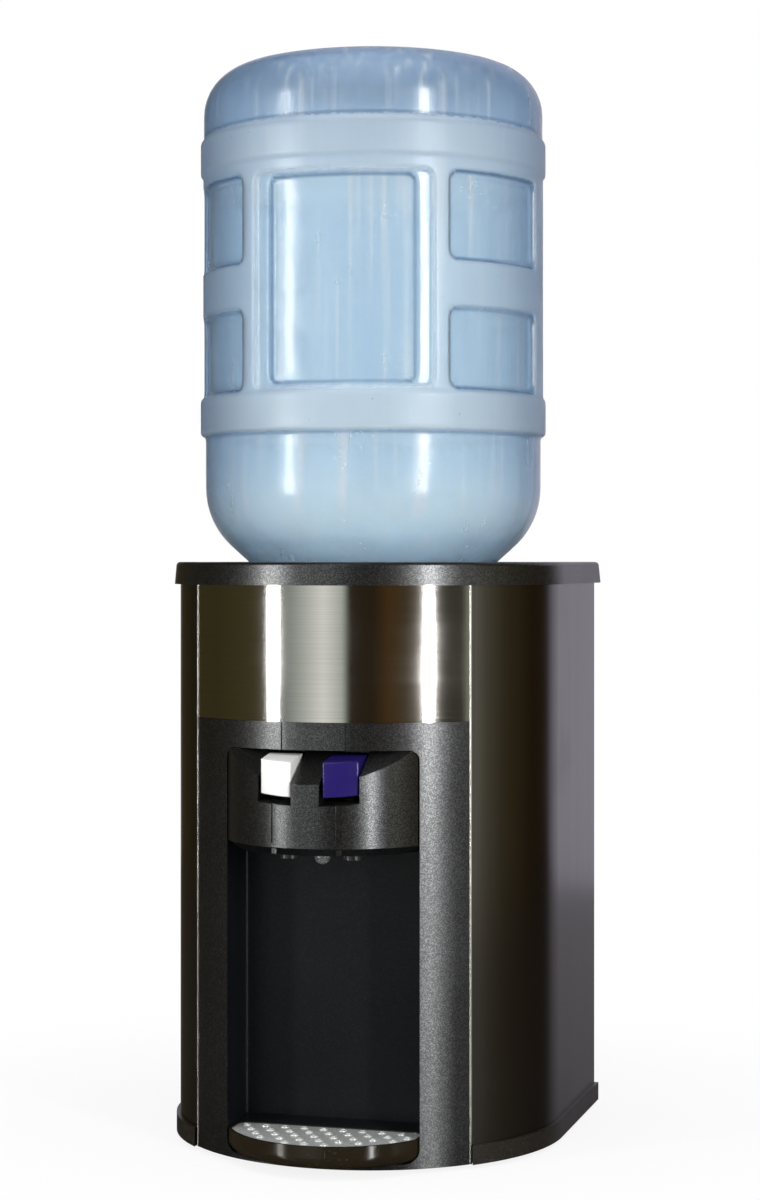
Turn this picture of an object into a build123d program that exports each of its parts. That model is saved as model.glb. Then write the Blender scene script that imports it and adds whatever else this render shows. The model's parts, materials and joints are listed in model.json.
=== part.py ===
from build123d import *
import os
from math import asin, cos, degrees, radians, sin, sqrt, tan

os.makedirs("parts", exist_ok=True)

# Millimetres, +Z up, +X to the right, the user stands on the -Y side.
# The origin is on the counter, straight below the bottle's axis.

# Clearances
running_gap = 0.3
seam_gap = 0.15
pin_play = 0.05

# Cabinet: a D-shaped plan, round in front and square behind
body_radius = 149.0
plan_y = -5.0
body_back = 137.0
seam_half_width = 106.0
sheet = 1.0
moulding = 2.5
foot_height = 3.0
foot_radius = 9.0
foot_draft = 8.0
foot_x = 98.0
foot_front_y = -78.0
foot_back_y = 108.0
base_height = 14.0
base_proud = 3.0
base_floor = 2.0
lip_height = 8.0
cover_bottom = 427.0
steel_panel_height = 100.0
cover_height = 17.0
cover_proud = 4.5
cover_wall = 3.0
cover_edge = 3.0
cover_draft = 5.0
panel_insert = 3.0
strip_width = 2.0
strip_proud = 0.6
rear_flange = 14.0

# Back panel, its screws, vents and what passes through it
screw_first = 60.0
screw_pitch = 100.0
screw_count = 4
screw_hole = 2.0
screw_shank = 1.7
screw_length = 8.0
screw_head = 3.6
screw_head_height = 2.0
vent_height = 105.0
vent_columns = 3
vent_rows = 7
vent_column_pitch = 56.0
vent_row_pitch = 14.0
vent_length = 44.0
vent_width = 5.0
gland_place = (92.0, 40.0)
gland_radius = 8.0
gland_flange = 4.0
gland_inside = 6.0
cord_radius = 3.8
thermostat_place = (-88.0, 300.0)
thermostat_size = (46.0, 30.0, 52.0)
dial_radius = 4.0
dial_height = 3.0

# Alcove and its opening in the fascia
opening_half_width = 74.0
opening_drop = 20.0
opening_bottom = 6.8
opening_top_corner = 7.0
opening_bottom_corner = 10.0
alcove_depth = 62.0
alcove_corner = 3.0
shelf_height = 27.0
shelf_depth = 18.0
shelf_flat = 12.6
shelf_fall = 2.0
shelf_drop = 6.0
groove_width = 4.0
groove_depth = 1.0
tab_rise = 1.5
tab_depth = 12.0

# Faucet hood
hood_overhang = 24.0
hood_gap = 1.1
hood_height = 75.0
brow_drop = 23.0
hood_slope = 31.0
hood_bevel_height = 9.0
hood_bevel_depth = 6.0
tap_spacing = 49.0
lever_side_gap = 1.5
slot_drop = 38.7
sill_slope = 12.0
sill_depth = 9.0

# Taps: set back from the cabinet's front, heights from the opening's top and the hood's bottom
spout_set_back = 17.0
pivot_set_back = 2.0
pivot_drop = 23.0
pin_radius = 1.5
lever_width = 25.0
lever_recess = 3.0
lever_bottom_drop = 33.2
lever_front_drop = 7.5
lever_back_drop = 3.0
lever_edge = 1.3
spout_reach = 5.4
spout_radius = 7.5
outlet_radius = 5.0
seat_rise = 12.0
chamber_radius = 9.0
chamber_wall = 3.0
chamber_depth = 24.0
bonnet_height = 4.0
ear_radius = 4.5
ear_inner = 8.4
ear_outer = 11.0
arm_gap = 0.4
fork_play = 0.5
cap_room = 2.5
inlet_rise = 26.0
inlet_radius = 5.5
stem_radius = 3.0
stem_head_rise = 2.0
stem_head_radius = 4.5
stem_head_height = 2.5
stem_head_round = 1.0
stem_head_play = 1.5
seal_radius = 7.0
seal_height = 4.0
seal_bevel = 1.2
seal_gap = 0.05
spring_radius = 5.0
spring_wire = 0.9
spring_turns = 5
lamp_radius = 6.0
lamp_wall = 1.5
lamp_set_back = 20.0
lamp_reach = 10.0
socket_wall = 4.0
socket_height = 8.0

# Drip tray and grid
tray_bottom = 7.1
tray_top = 24.5
tray_side_gap = 1.0
tray_wall = 2.2
tray_ledge = 2.8
tray_round = 10.0
tray_corner = 9.0
grid_thickness = 2.0
grid_sink = 0.6
grid_hole = 3.2
grid_pitch = 15.0
grid_row = 12.0
grid_rows = 5
grid_columns = 11
grid_margin = 9.0

# Bottle, standing on its neck, with its heights above the cover's top
bottle_rise = 385.0
bottle_push_up = 18.0
bottle_base_radius = 95.0
bottle_corner = 37.5
upper_wall_radius = 132.5
band_radius = 135.0
panel_radius = 133.0
shoulder_radius = 131.0
shoulder_rise = 58.0
shoulder_arc = 62.0
shoulder_turn = 48.0
band_bevel = 2.5
upper_band_rise = 301.5
upper_band_width = 24.0
lower_band_rise = 99.0
lower_band_width = 26.0
bottle_wall = 2.0
neck_radius = 27.5
neck_wall = 3.5
neck_flare = 7.0
neck_depth = 101.0
recess_depth = 5.0
recess_corner = 9.0
recess_slope = 4.0
grip_margin = 2.5
grip_height = 163.5
window_low_height = 62.5
window_high_height = 68.0
grip_angle = 58.0
window_angle = 46.0
grip_rib_angle = 8.2
grip_turn = 3.0

# Cap, probe and funnel
cap_wall = 3.2
cap_height = 25.0
cap_plate = 1.7
cap_play = 0.2
cap_edge = 1.5
probe_radius = 9.0
probe_bore = 6.5
probe_rise = 33.0
probe_tail = 12.0
probe_point = 6.0
probe_tip = 4.0
probe_collar = 6.0
collar_height = 2.0
feed_slot = (4.0, 6.0)
sleeve_wall = 1.6
sleeve_rise = 26.0
cover_hole = 99.0
cover_lip_depth = 8.0
funnel_wall = 3.0
neck_clearance = 5.6
floor_clearance = 5.0
funnel_flange = 112.0
tank_seat_drop = 42.0
tank_seat_width = 6.0

# Cold tank and its insulation
tank_radius = 64.0
tank_wall = 0.8
tank_depth = 210.0
gasket_height = 2.0
gasket_inside = 3.0
gasket_outside = 4.0
jacket_wall = 5.0
jacket_rise = 10.0
jacket_height = 42.0
jacket_beads = 4
bead_radius = 3.0
bead_proud = 1.2
port_inset = 10.0
port_x = 30.0
baffle_rise = 100.0
baffle_thickness = 2.0
baffle_vent = 4.0
feed_tube_radius = 12.0
feed_tube_wall = 2.0
feed_tube_gap = 2.0
pipe_wall = 2.0
pipe_socket = 8.0
pipe_set_in = 35.2
cold_draw_rise = 14.0
room_draw_rise = 12.0
foam_thickness = 16.0
foam_floor = 20.0
foam_height = 160.0
deck_half_width = 118.0
deck_thickness = 1.5
deck_slot_inset = 14.0
deck_slot_width = 12.0
deck_slot_margin = 10.0

# Refrigeration
compressor_radius = 60.0
compressor_y = 52.0
compressor_rise = 17.0
compressor_height = 122.0
seam_share = 0.55
seam_proud = 3.0
seam_half_height = 2.0
shell_lower_round = 15.0
shell_upper_round = 30.0
mount_x = 78.0
mount_y = 42.0
mount_plate = 2.5
mount_margin = 12.0
mount_hole = 4.5
grommet_radius = 9.0
grommet_bore = 3.4
bolt_radius = 3.2
bolt_head_radius = 6.5
bolt_head_height = 4.0
terminal_size = (26.0, 44.0, 46.0)
terminal_rise = 34.0
terminal_reach = 12.0
line_radius = 3.0
capillary_radius = 1.5
condenser_tube_radius = 2.4
condenser_half_width = 108.0
condenser_rise = 61.0
condenser_pitch = 32.0
condenser_passes = 11
condenser_stand_off = 26.0
condenser_bend = 9.0
condenser_inset = 20.0
condenser_inside = 12.0
tube_hole_play = 1.5
wire_radius = 0.8
wire_count = 18
wire_reach = 9.0
wire_margin = 34.0
weld_gap = 0.1
bracket_size = 14.0
bracket_inset = 17.0
drier_radius = 9.0
drier_length = 60.0
drier_drop = 8.0
drier_round = 4.0
capillary_bend = 8.0
capillary_drop = 20.0
line_bend = 6.0
suction_rise = 16.0
discharge_drop = 14.0

# Places that follow from the sizes above
base_bottom = foot_height
base_top = base_bottom + base_height
floor_top = base_bottom + base_floor
base_radius = body_radius + base_proud
base_back = body_back + sheet + 1.5
cover_top = cover_bottom + cover_height
cover_radius = body_radius + cover_proud
panel_top = cover_bottom + panel_insert
fascia_top = cover_bottom - steel_panel_height
front_y = plan_y - body_radius
alcove_back = front_y + alcove_depth
hood_front = front_y - hood_overhang
rear_reach = -hood_front
fascia_inner = body_radius - moulding
backing_step = sheet + running_gap
seam_angle = degrees(asin(seam_half_width / body_radius))
strip_angle = degrees(strip_width / 2 / body_radius)
gap_angle = degrees(seam_gap / body_radius)
panel_angle = seam_angle - strip_angle - gap_angle
opening_top = fascia_top - opening_drop
hood_bottom = opening_top - hood_height
hood_arris = opening_top - brow_drop
hood_half_width = opening_half_width - hood_gap
hood_root_y = plan_y - sqrt(body_radius**2 - hood_half_width**2)
hood_sagitta = hood_root_y - hood_front
hood_radius = (hood_half_width**2 + hood_sagitta**2) / (2 * hood_sagitta)
hood_centre_y = hood_front + hood_radius
hood_top = opening_top - 0.5
slot_width = lever_width + 2 * lever_side_gap
slot_sill = opening_top - slot_drop
tap_half = tap_spacing / 2
spout_y = front_y + spout_set_back
spout_bottom = hood_bottom - spout_reach
seat_height = hood_bottom + seat_rise
chamber_top = seat_height + chamber_depth
inlet_height = hood_bottom + inlet_rise
pivot_y = front_y + pivot_set_back
pivot_height = opening_top - pivot_drop
stem_head_bottom = pivot_height + stem_head_rise
lever_bottom = opening_top - lever_bottom_drop
lever_front_top = opening_top - lever_front_drop
lever_back_top = opening_top - lever_back_drop
lamp_y = front_y + lamp_set_back
lamp_height = hood_bottom - lamp_reach + lamp_radius
tray_half_width = opening_half_width - tray_side_gap
tray_rear_y = alcove_back - shelf_depth - running_gap
bottle_top = cover_top + bottle_rise
shoulder_bottom = cover_top + shoulder_rise
upper_band = (cover_top + upper_band_rise, cover_top + upper_band_rise + upper_band_width)
lower_band = (cover_top + lower_band_rise, cover_top + lower_band_rise + lower_band_width)
grip_bottom = lower_band[1] + grip_margin
grip_top = grip_bottom + grip_height
window_low_top = grip_bottom + window_low_height
window_high_bottom = grip_top - window_high_height
neck_end = cover_top - neck_depth
cap_inner = neck_radius + cap_play
funnel_tube = cap_inner + cap_wall + neck_clearance
funnel_floor = neck_end - floor_clearance
probe_top = neck_end + probe_rise
sleeve_top = neck_end + sleeve_rise
tank_seat_height = cover_top - tank_seat_drop
tank_top = tank_seat_height - gasket_height
tank_bottom = tank_top - tank_depth
jacket_bottom = tank_bottom + jacket_rise
baffle_height = tank_bottom + baffle_rise
foam_bottom = tank_bottom - foam_floor
foam_top = foam_bottom + foam_height
compressor_bottom = floor_top + compressor_rise
condenser_bottom = base_bottom + condenser_rise
condenser_top = condenser_bottom + condenser_pitch * (condenser_passes - 1)
condenser_y = body_back + sheet + condenser_stand_off
condenser_end_y = body_back - condenser_inside
condenser_inlet = (condenser_half_width - condenser_inset, condenser_top)
condenser_outlet = (condenser_inset - condenser_half_width, condenser_bottom)
pipe_radius = inlet_radius + pipe_wall
screw_heights = [screw_first + screw_pitch * row for row in range(screw_count)]
sides = (("left", -1), ("right", 1))
taps = (("white", -1), ("blue", 1))


def d_plan(radius, back, height):
    """The cabinet's plan: half a circle in front, straight sides and a square back."""
    with BuildSketch(Plane.XY.offset(height)) as plan:
        with BuildLine():
            Line((-radius, back), (-radius, plan_y))
            ThreePointArc((-radius, plan_y), (0, plan_y - radius), (radius, plan_y))
            Line((radius, plan_y), (radius, back))
            Line((radius, back), (-radius, back))
        make_face()
    return plan.sketch


def ring_sector(inner, outer, start, end, height, centre_y=plan_y):
    """Part of a ring, its angles in degrees from the front towards +X."""

    def at(radius, angle):
        return (radius * sin(radians(angle)), centre_y - radius * cos(radians(angle)))

    middle = (start + end) / 2
    with BuildSketch(Plane.XY.offset(height)) as sector:
        with BuildLine():
            ThreePointArc(at(outer, start), at(outer, middle), at(outer, end))
            Line(at(outer, end), at(inner, end))
            ThreePointArc(at(inner, end), at(inner, middle), at(inner, start))
            Line(at(inner, start), at(outer, start))
        make_face()
    return sector.sketch


def turned(points):
    """A solid of revolution about the bottle's axis from (radius, height) points."""
    with BuildPart() as solid:
        with BuildSketch(Plane.XZ):
            with BuildLine():
                Polyline(*points, close=True)
            make_face()
        revolve(axis=Axis.Z)
    return solid.part


def bent_tube(points, bend, radius):
    """A round tube along straight runs joined by arcs."""
    with BuildPart() as tube:
        with BuildLine() as route:
            FilletPolyline(*points, radius=bend)
        with BuildSketch(Plane(origin=route.line @ 0, z_dir=route.line % 0)):
            Circle(radius)
        sweep(path=route.line)
    return tube


def save(piece, name):
    """Labels a finished piece and writes it."""
    piece.part.label = name
    export_step(piece.part, f"parts/{name}.step")


# Base pan: floor, proud trim round the sides and back, lip inside the panels
lip_radius = body_radius - sheet - running_gap
with BuildPart() as base_pan:
    extrude(d_plan(base_radius, base_back, base_bottom), amount=base_height)
    extrude(d_plan(lip_radius, body_back - sheet - running_gap, base_top), amount=lip_height)
    extrude(
        d_plan(lip_radius - moulding, body_back - sheet - moulding, floor_top),
        amount=base_height + lip_height,
        mode=Mode.SUBTRACT,
    )
    with BuildSketch(Plane.XY.offset(base_bottom)):
        with Locations((0, front_y)):
            Rectangle(2 * (seam_half_width + strip_width), body_radius)
        with Locations((0, plan_y)):
            Circle(fascia_inner - running_gap, mode=Mode.SUBTRACT)
    extrude(amount=base_height + lip_height, mode=Mode.SUBTRACT)
    with Locations((0, front_y, floor_top)):
        Box(
            2 * (opening_half_width + moulding + running_gap),
            2 * (alcove_depth + moulding + running_gap),
            base_height + lip_height,
            align=(Align.CENTER, Align.CENTER, Align.MIN),
            mode=Mode.SUBTRACT,
        )
save(base_pan, "base_pan")

foot_places = [(x, y) for x in (-foot_x, foot_x) for y in (foot_front_y, foot_back_y)]
with BuildPart() as rubber_feet:
    with BuildSketch():
        with Locations(*foot_places):
            Circle(foot_radius)
    extrude(amount=foot_height, taper=-foot_draft)
save(rubber_feet, "rubber_feet")

# Fascia: moulded front with the alcove's opening and a backing for the steel panel
with BuildPart() as front_fascia:
    extrude(
        ring_sector(fascia_inner, body_radius, -panel_angle, panel_angle, base_bottom),
        amount=fascia_top - base_bottom,
    )
    extrude(
        ring_sector(
            fascia_inner - backing_step, body_radius - backing_step, -panel_angle, panel_angle, fascia_top
        ),
        amount=panel_top - fascia_top,
    )
    with BuildSketch(Plane.XZ.offset(-alcove_back)) as opening:
        with Locations((0, (opening_top + opening_bottom) / 2)):
            Rectangle(2 * opening_half_width, opening_top - opening_bottom)
        fillet(opening.vertices().group_by(Axis.Y)[-1], opening_top_corner)
        fillet(opening.vertices().group_by(Axis.Y)[0], opening_bottom_corner)
    extrude(amount=alcove_depth + moulding, mode=Mode.SUBTRACT)
    groove_angle = degrees(asin(tap_half / body_radius))
    groove_half = degrees(groove_width / 2 / body_radius)
    for sign in (-1, 1):
        middle = sign * groove_angle
        groove = ring_sector(
            body_radius - groove_depth,
            body_radius + 1,
            middle - groove_half,
            middle + groove_half,
            opening_top - 1,
        )
        extrude(groove, amount=fascia_top - opening_top + 1, mode=Mode.SUBTRACT)
save(front_fascia, "front_fascia")

with BuildPart() as steel_front_panel:
    extrude(
        ring_sector(
            body_radius - sheet, body_radius, -panel_angle, panel_angle, fascia_top + running_gap
        ),
        amount=panel_top - fascia_top - running_gap,
    )
save(steel_front_panel, "steel_front_panel")

# Bright strips over the seams and the wrapped sheet sides
for side, sign in sides:
    middle = sign * seam_angle
    with BuildPart() as edge_strip:
        extrude(
            ring_sector(
                fascia_inner,
                body_radius + strip_proud,
                middle - strip_angle,
                middle + strip_angle,
                base_bottom,
            ),
            amount=cover_bottom - base_bottom,
        )
        outer_edges = edge_strip.edges().filter_by(Axis.Z).sort_by(SortBy.DISTANCE)[-2:]
        fillet(outer_edges, strip_width / 4)
    save(edge_strip, f"{side}_edge_strip")

    with BuildPart() as side_panel:
        extrude(d_plan(body_radius, body_back, base_top), amount=panel_top - base_top)
        extrude(
            d_plan(body_radius - sheet, body_back - sheet, base_top),
            amount=panel_top - base_top,
            mode=Mode.SUBTRACT,
        )
        front_limit = seam_angle + strip_angle + gap_angle
        extrude(
            ring_sector(body_radius - 30, body_radius + 30, -front_limit, front_limit, base_top),
            amount=panel_top - base_top,
            mode=Mode.SUBTRACT,
        )
        with Locations((0, body_back, base_top)):
            Box(
                2 * (body_radius - rear_flange),
                rear_flange,
                panel_top - base_top,
                align=(Align.CENTER, Align.CENTER, Align.MIN),
                mode=Mode.SUBTRACT,
            )
        split(bisect_by=Plane.YZ, keep=Keep.TOP if sign > 0 else Keep.BOTTOM)
        with Locations(Plane.XZ.offset(-body_back)):
            with Locations(*[(sign * (body_radius - rear_flange / 2), z) for z in screw_heights]):
                Hole(screw_hole, depth=2 * sheet)
    save(side_panel, f"{side}_side_panel")

# Back panel with vent slots, and its screws
screw_places = [(sign * (body_radius - rear_flange / 2), z) for sign in (-1, 1) for z in screw_heights]
with BuildPart() as back_panel:
    with BuildSketch(Plane.XZ.offset(-(body_back + sheet))):
        with Locations((0, (base_top + panel_top) / 2)):
            Rectangle(2 * (body_radius - 2), panel_top - base_top)
        with Locations(*screw_places):
            Circle(screw_hole, mode=Mode.SUBTRACT)
        with Locations((0, vent_height)):
            with GridLocations(vent_column_pitch, vent_row_pitch, vent_columns, vent_rows):
                SlotOverall(vent_length, vent_width, mode=Mode.SUBTRACT)
        with Locations(gland_place):
            Circle(gland_radius, mode=Mode.SUBTRACT)
        with Locations(thermostat_place):
            Circle(dial_radius + 1, mode=Mode.SUBTRACT)
        with Locations(condenser_inlet, condenser_outlet):
            Circle(condenser_tube_radius + tube_hole_play, mode=Mode.SUBTRACT)
    extrude(amount=sheet)
save(back_panel, "back_panel")

with BuildPart() as panel_screws:
    with BuildSketch(Plane.XZ.offset(-(body_back + sheet))):
        with Locations(*screw_places):
            Circle(screw_head)
    extrude(amount=-screw_head_height)
    with BuildSketch(Plane.XZ.offset(-(body_back + sheet))):
        with Locations(*screw_places):
            Circle(screw_shank)
    extrude(amount=screw_length)
save(panel_screws, "panel_screws")

with BuildPart() as cord_gland:
    with BuildSketch(Plane.XZ.offset(-(body_back + sheet))):
        with Locations(gland_place):
            Circle(gland_radius + gland_flange)
    extrude(amount=-gland_flange)
    with BuildSketch(Plane.XZ.offset(-(body_back + sheet))):
        with Locations(gland_place):
            Circle(gland_radius - seam_gap)
    extrude(amount=gland_inside)
    with BuildSketch(Plane.XZ.offset(-(body_back + sheet + gland_flange))):
        with Locations(gland_place):
            Circle(cord_radius)
    extrude(amount=gland_flange + gland_inside, mode=Mode.SUBTRACT)
save(cord_gland, "cord_gland")

# Top cover: drafted D with a rounded rim, a lip round the bottle and a rebate over the panels
with BuildPart() as top_cover:
    extrude(
        d_plan(cover_radius, base_back + 1.5, cover_bottom), amount=cover_height, taper=cover_draft
    )
    fillet(top_cover.faces().sort_by(Axis.Z)[-1].edges(), cover_edge)
    extrude(
        d_plan(body_radius + 2 * running_gap, body_back + sheet + running_gap, cover_bottom),
        amount=panel_insert,
        mode=Mode.SUBTRACT,
    )
    extrude(
        d_plan(body_radius - moulding, body_back - moulding, panel_top),
        amount=cover_height - panel_insert - cover_wall,
        mode=Mode.SUBTRACT,
    )
    with Locations((0, 0, cover_top)):
        Cylinder(
            cover_hole + cover_wall, cover_lip_depth, align=(Align.CENTER, Align.CENTER, Align.MAX)
        )
        Cylinder(cover_hole, 3 * cover_height, mode=Mode.SUBTRACT)
    circles = top_cover.edges().filter_by(GeomType.CIRCLE)
    rim = circles.filter_by(lambda edge: abs(edge.radius - cover_hole) < 0.01).sort_by(Axis.Z)[-1]
    fillet(rim, cover_wall * 0.6)
save(top_cover, "top_cover")


# Bottle: a turned shell with two large grip panels and four columns of windows pressed in
def bottle_body(inset, neck_bore):
    """The bottle as a solid of revolution, each face moved inwards by the inset."""
    turn = radians(shoulder_turn)
    arc_radius = shoulder_arc - inset
    arc_centre = shoulder_radius - shoulder_arc
    arc_end = (arc_centre + arc_radius * cos(turn), shoulder_bottom - arc_radius * sin(turn))
    arc_middle = (
        arc_centre + arc_radius * cos(turn / 2),
        shoulder_bottom - arc_radius * sin(turn / 2),
    )
    neck = neck_radius if inset == 0 else neck_bore
    flare = (neck + neck_flare, arc_end[1] - (arc_end[0] - neck - neck_flare) / tan(turn))
    corner = bottle_corner - inset
    crown = bottle_top - inset
    corner_z = bottle_top - bottle_corner
    mouth = neck_end if inset == 0 else neck_end - 1
    with BuildPart() as solid:
        with BuildSketch(Plane.XZ):
            with BuildLine():
                ThreePointArc(
                    (0, crown - bottle_push_up),
                    (bottle_base_radius * 0.55, crown - bottle_push_up * 0.7),
                    (bottle_base_radius - 3, crown),
                )
                Line((bottle_base_radius - 3, crown), (bottle_base_radius, crown))
                ThreePointArc(
                    (bottle_base_radius, crown),
                    (bottle_base_radius + corner * sin(radians(45)), corner_z + corner * sin(radians(45))),
                    (bottle_base_radius + corner, corner_z),
                )
                Polyline(
                    (bottle_base_radius + corner, corner_z),
                    (upper_wall_radius - inset, upper_band[1] + band_bevel),
                    (band_radius - inset, upper_band[1]),
                    (band_radius - inset, upper_band[0]),
                    (panel_radius - inset, upper_band[0] - band_bevel),
                    (panel_radius - inset, lower_band[1] + band_bevel),
                    (band_radius - inset, lower_band[1]),
                    (band_radius - inset, lower_band[0]),
                    (shoulder_radius - inset, lower_band[0] - band_bevel),
                    (shoulder_radius - inset, shoulder_bottom),
                )
                ThreePointArc((shoulder_radius - inset, shoulder_bottom), arc_middle, arc_end)
                Polyline(
                    arc_end,
                    flare,
                    (neck, flare[1] - neck_flare * 0.8),
                    (neck, mouth),
                    (0, mouth),
                    (0, crown - bottle_push_up),
                )
            make_face()
        revolve(axis=Axis.Z)
    return solid.part


def pressed_panels(floor_radius, grow):
    """The panels pressed into the bottle, as blocks from their floors outwards."""
    outside = band_radius + 10
    grow_angle = degrees(grow / panel_radius)
    spans = []
    for facing in (grip_turn, grip_turn + 180):
        spans.append((facing, grip_angle, grip_bottom, grip_top))
        for turn in (-1, 1):
            first = (grip_angle + window_angle) / 2 + grip_rib_angle
            middle = facing + turn * first
            spans.append((middle, window_angle, grip_bottom, window_low_top))
            spans.append((middle, window_angle, window_high_bottom, grip_top))
    with BuildPart() as blocks:
        for middle, width, low, high in spans:
            half = width / 2 + grow_angle
            sector = ring_sector(floor_radius, outside, middle - half, middle + half, low - grow, 0)
            extrude(sector, amount=high - low + 2 * grow)
        corners = blocks.edges().filter_by(GeomType.LINE).filter_by(Axis.Z, reverse=True)
        fillet(corners, recess_corner + grow)
        floors = blocks.faces().filter_by(
            lambda face: face.geom_type == GeomType.CYLINDER and abs(face.radius - floor_radius) < 0.01
        )
        chamfer(floors.edges(), recess_slope)
    return blocks.part


bottle_cavity = bottle_body(bottle_wall, neck_radius - neck_wall)
with BuildPart() as water_bottle:
    add(bottle_body(0, 0))
    add(pressed_panels(panel_radius - recess_depth, 0), mode=Mode.SUBTRACT)
    with BuildPart(mode=Mode.PRIVATE) as hollow:
        add(bottle_cavity)
        add(pressed_panels(panel_radius - recess_depth - bottle_wall, bottle_wall), mode=Mode.SUBTRACT)
    add(hollow.part, mode=Mode.SUBTRACT)
save(water_bottle, "water_bottle")

cap_bottom = neck_end - running_gap - cap_plate
sleeve_bore = probe_radius + running_gap
with BuildPart() as bottle_cap:
    add(
        turned(
            [
                (sleeve_bore, cap_bottom),
                (cap_inner + cap_wall - cap_edge, cap_bottom),
                (cap_inner + cap_wall, cap_bottom + cap_edge),
                (cap_inner + cap_wall, cap_bottom + cap_height),
                (cap_inner, cap_bottom + cap_height),
                (cap_inner, cap_bottom + cap_plate),
                (sleeve_bore + sleeve_wall, cap_bottom + cap_plate),
                (sleeve_bore + sleeve_wall, sleeve_top),
                (sleeve_bore, sleeve_top),
            ]
        )
    )
save(bottle_cap, "bottle_cap")

# Funnel: a cone under the bottle's shoulder, a tube round its neck and a seat on the tank
cone_slope = 1 / tan(radians(shoulder_turn))
cone_start_radius = shoulder_radius - shoulder_arc + shoulder_arc * cos(radians(shoulder_turn))
cone_start_z = shoulder_bottom - shoulder_arc * sin(radians(shoulder_turn))
cone_drop = running_gap / sin(radians(shoulder_turn))
wall_drop = funnel_wall / sin(radians(shoulder_turn))


def cone_z(radius, drop):
    """Height of a line parallel to the bottle's cone, so far straight below it."""
    return cone_start_z - (cone_start_radius - radius) * cone_slope - drop


flange_top = cover_top - cover_lip_depth
flange_inner = cone_start_radius - (cone_start_z - cone_drop - flange_top) / cone_slope
flange_bottom = flange_top - funnel_wall
flange_root = flange_inner + (wall_drop - funnel_wall) / cone_slope
seat_outer = tank_radius + tank_seat_width
seat_inner = tank_radius - tank_seat_width
funnel_tube_outer = funnel_tube + funnel_wall
with BuildPart() as bottle_funnel:
    add(
        turned(
            [
                (funnel_flange, flange_top),
                (flange_inner, flange_top),
                (funnel_tube, cone_z(funnel_tube, cone_drop)),
                (funnel_tube, funnel_floor),
                (probe_radius + weld_gap, funnel_floor),
                (probe_radius + weld_gap, funnel_floor - funnel_wall),
                (funnel_tube_outer, funnel_floor - funnel_wall),
                (funnel_tube_outer, cone_z(funnel_tube_outer, cone_drop + wall_drop)),
                (seat_inner, cone_z(seat_inner, cone_drop + wall_drop)),
                (seat_inner, tank_seat_height),
                (seat_outer, tank_seat_height),
                (seat_outer, cone_z(seat_outer, cone_drop + wall_drop)),
                (flange_root, flange_bottom),
                (funnel_flange, flange_bottom),
            ]
        )
    )
save(bottle_funnel, "bottle_funnel")

with BuildPart() as feed_probe:
    add(
        turned(
            [
                (probe_bore, funnel_floor - probe_tail),
                (probe_radius, funnel_floor - probe_tail),
                (probe_radius, funnel_floor),
                (probe_radius + probe_collar, funnel_floor),
                (probe_radius + probe_collar, funnel_floor + collar_height),
                (probe_radius, funnel_floor + collar_height),
                (probe_radius, probe_top - probe_point),
                (probe_tip, probe_top),
                (0, probe_top),
                (0, probe_top - probe_point / 2),
                (probe_bore, probe_top - probe_point),
            ]
        )
    )
    with Locations((0, 0, sleeve_top - feed_slot[0])):
        Box(
            feed_slot[0],
            3 * probe_radius,
            feed_slot[1],
            align=(Align.CENTER, Align.CENTER, Align.MIN),
            mode=Mode.SUBTRACT,
        )
save(feed_probe, "feed_probe")

with BuildPart() as funnel_gasket:
    add(
        turned(
            [
                (tank_radius - gasket_inside, tank_top),
                (tank_radius + gasket_outside, tank_top),
                (tank_radius + gasket_outside, tank_seat_height),
                (tank_radius - gasket_inside, tank_seat_height),
            ]
        )
    )
save(funnel_gasket, "funnel_gasket")

# Cold tank with its outlets, baffle, cooling jacket and split insulation
with BuildPart() as cold_tank:
    with Locations((0, 0, tank_bottom)):
        Cylinder(
            tank_radius + tank_wall, tank_top - tank_bottom, align=(Align.CENTER, Align.CENTER, Align.MIN)
        )
    with Locations((0, 0, tank_bottom + tank_wall)):
        Cylinder(
            tank_radius,
            tank_top - tank_bottom,
            align=(Align.CENTER, Align.CENTER, Align.MIN),
            mode=Mode.SUBTRACT,
        )
    with BuildSketch(Plane.XZ):
        with Locations((-tap_half, inlet_height), (tap_half, inlet_height)):
            Circle(pipe_radius + seam_gap)
    extrude(amount=2 * tank_radius, mode=Mode.SUBTRACT)
save(cold_tank, "cold_tank")

with BuildPart() as tank_baffle:
    with BuildSketch(Plane.XY.offset(baffle_height)):
        Circle(tank_radius - running_gap)
        with PolarLocations(tank_radius * 0.6, 6, start_angle=30):
            Circle(baffle_vent, mode=Mode.SUBTRACT)
        with Locations((-tap_half, -pipe_set_in)):
            Circle(pipe_radius + running_gap, mode=Mode.SUBTRACT)
    extrude(amount=baffle_thickness)
    with BuildSketch(Plane.XY.offset(baffle_height)):
        Circle(feed_tube_radius)
        Circle(feed_tube_radius - feed_tube_wall, mode=Mode.SUBTRACT)
    extrude(amount=funnel_floor - probe_tail - feed_tube_gap - baffle_height)
save(tank_baffle, "tank_baffle")

# Each outlet turns inside the tank: the cold one draws from below the baffle, the other from above it
for name, sign, draw_height in (
    ("room_outlet_pipe", -1, baffle_height + room_draw_rise),
    ("cold_outlet_pipe", 1, tank_bottom + cold_draw_rise),
):
    x = sign * tap_half
    pipe = bent_tube(
        [
            (x, alcove_back - pipe_socket, inlet_height),
            (x, -pipe_set_in, inlet_height),
            (x, -pipe_set_in, draw_height),
        ],
        pipe_radius + 3,
        pipe_radius,
    )
    save(pipe, name)

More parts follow.
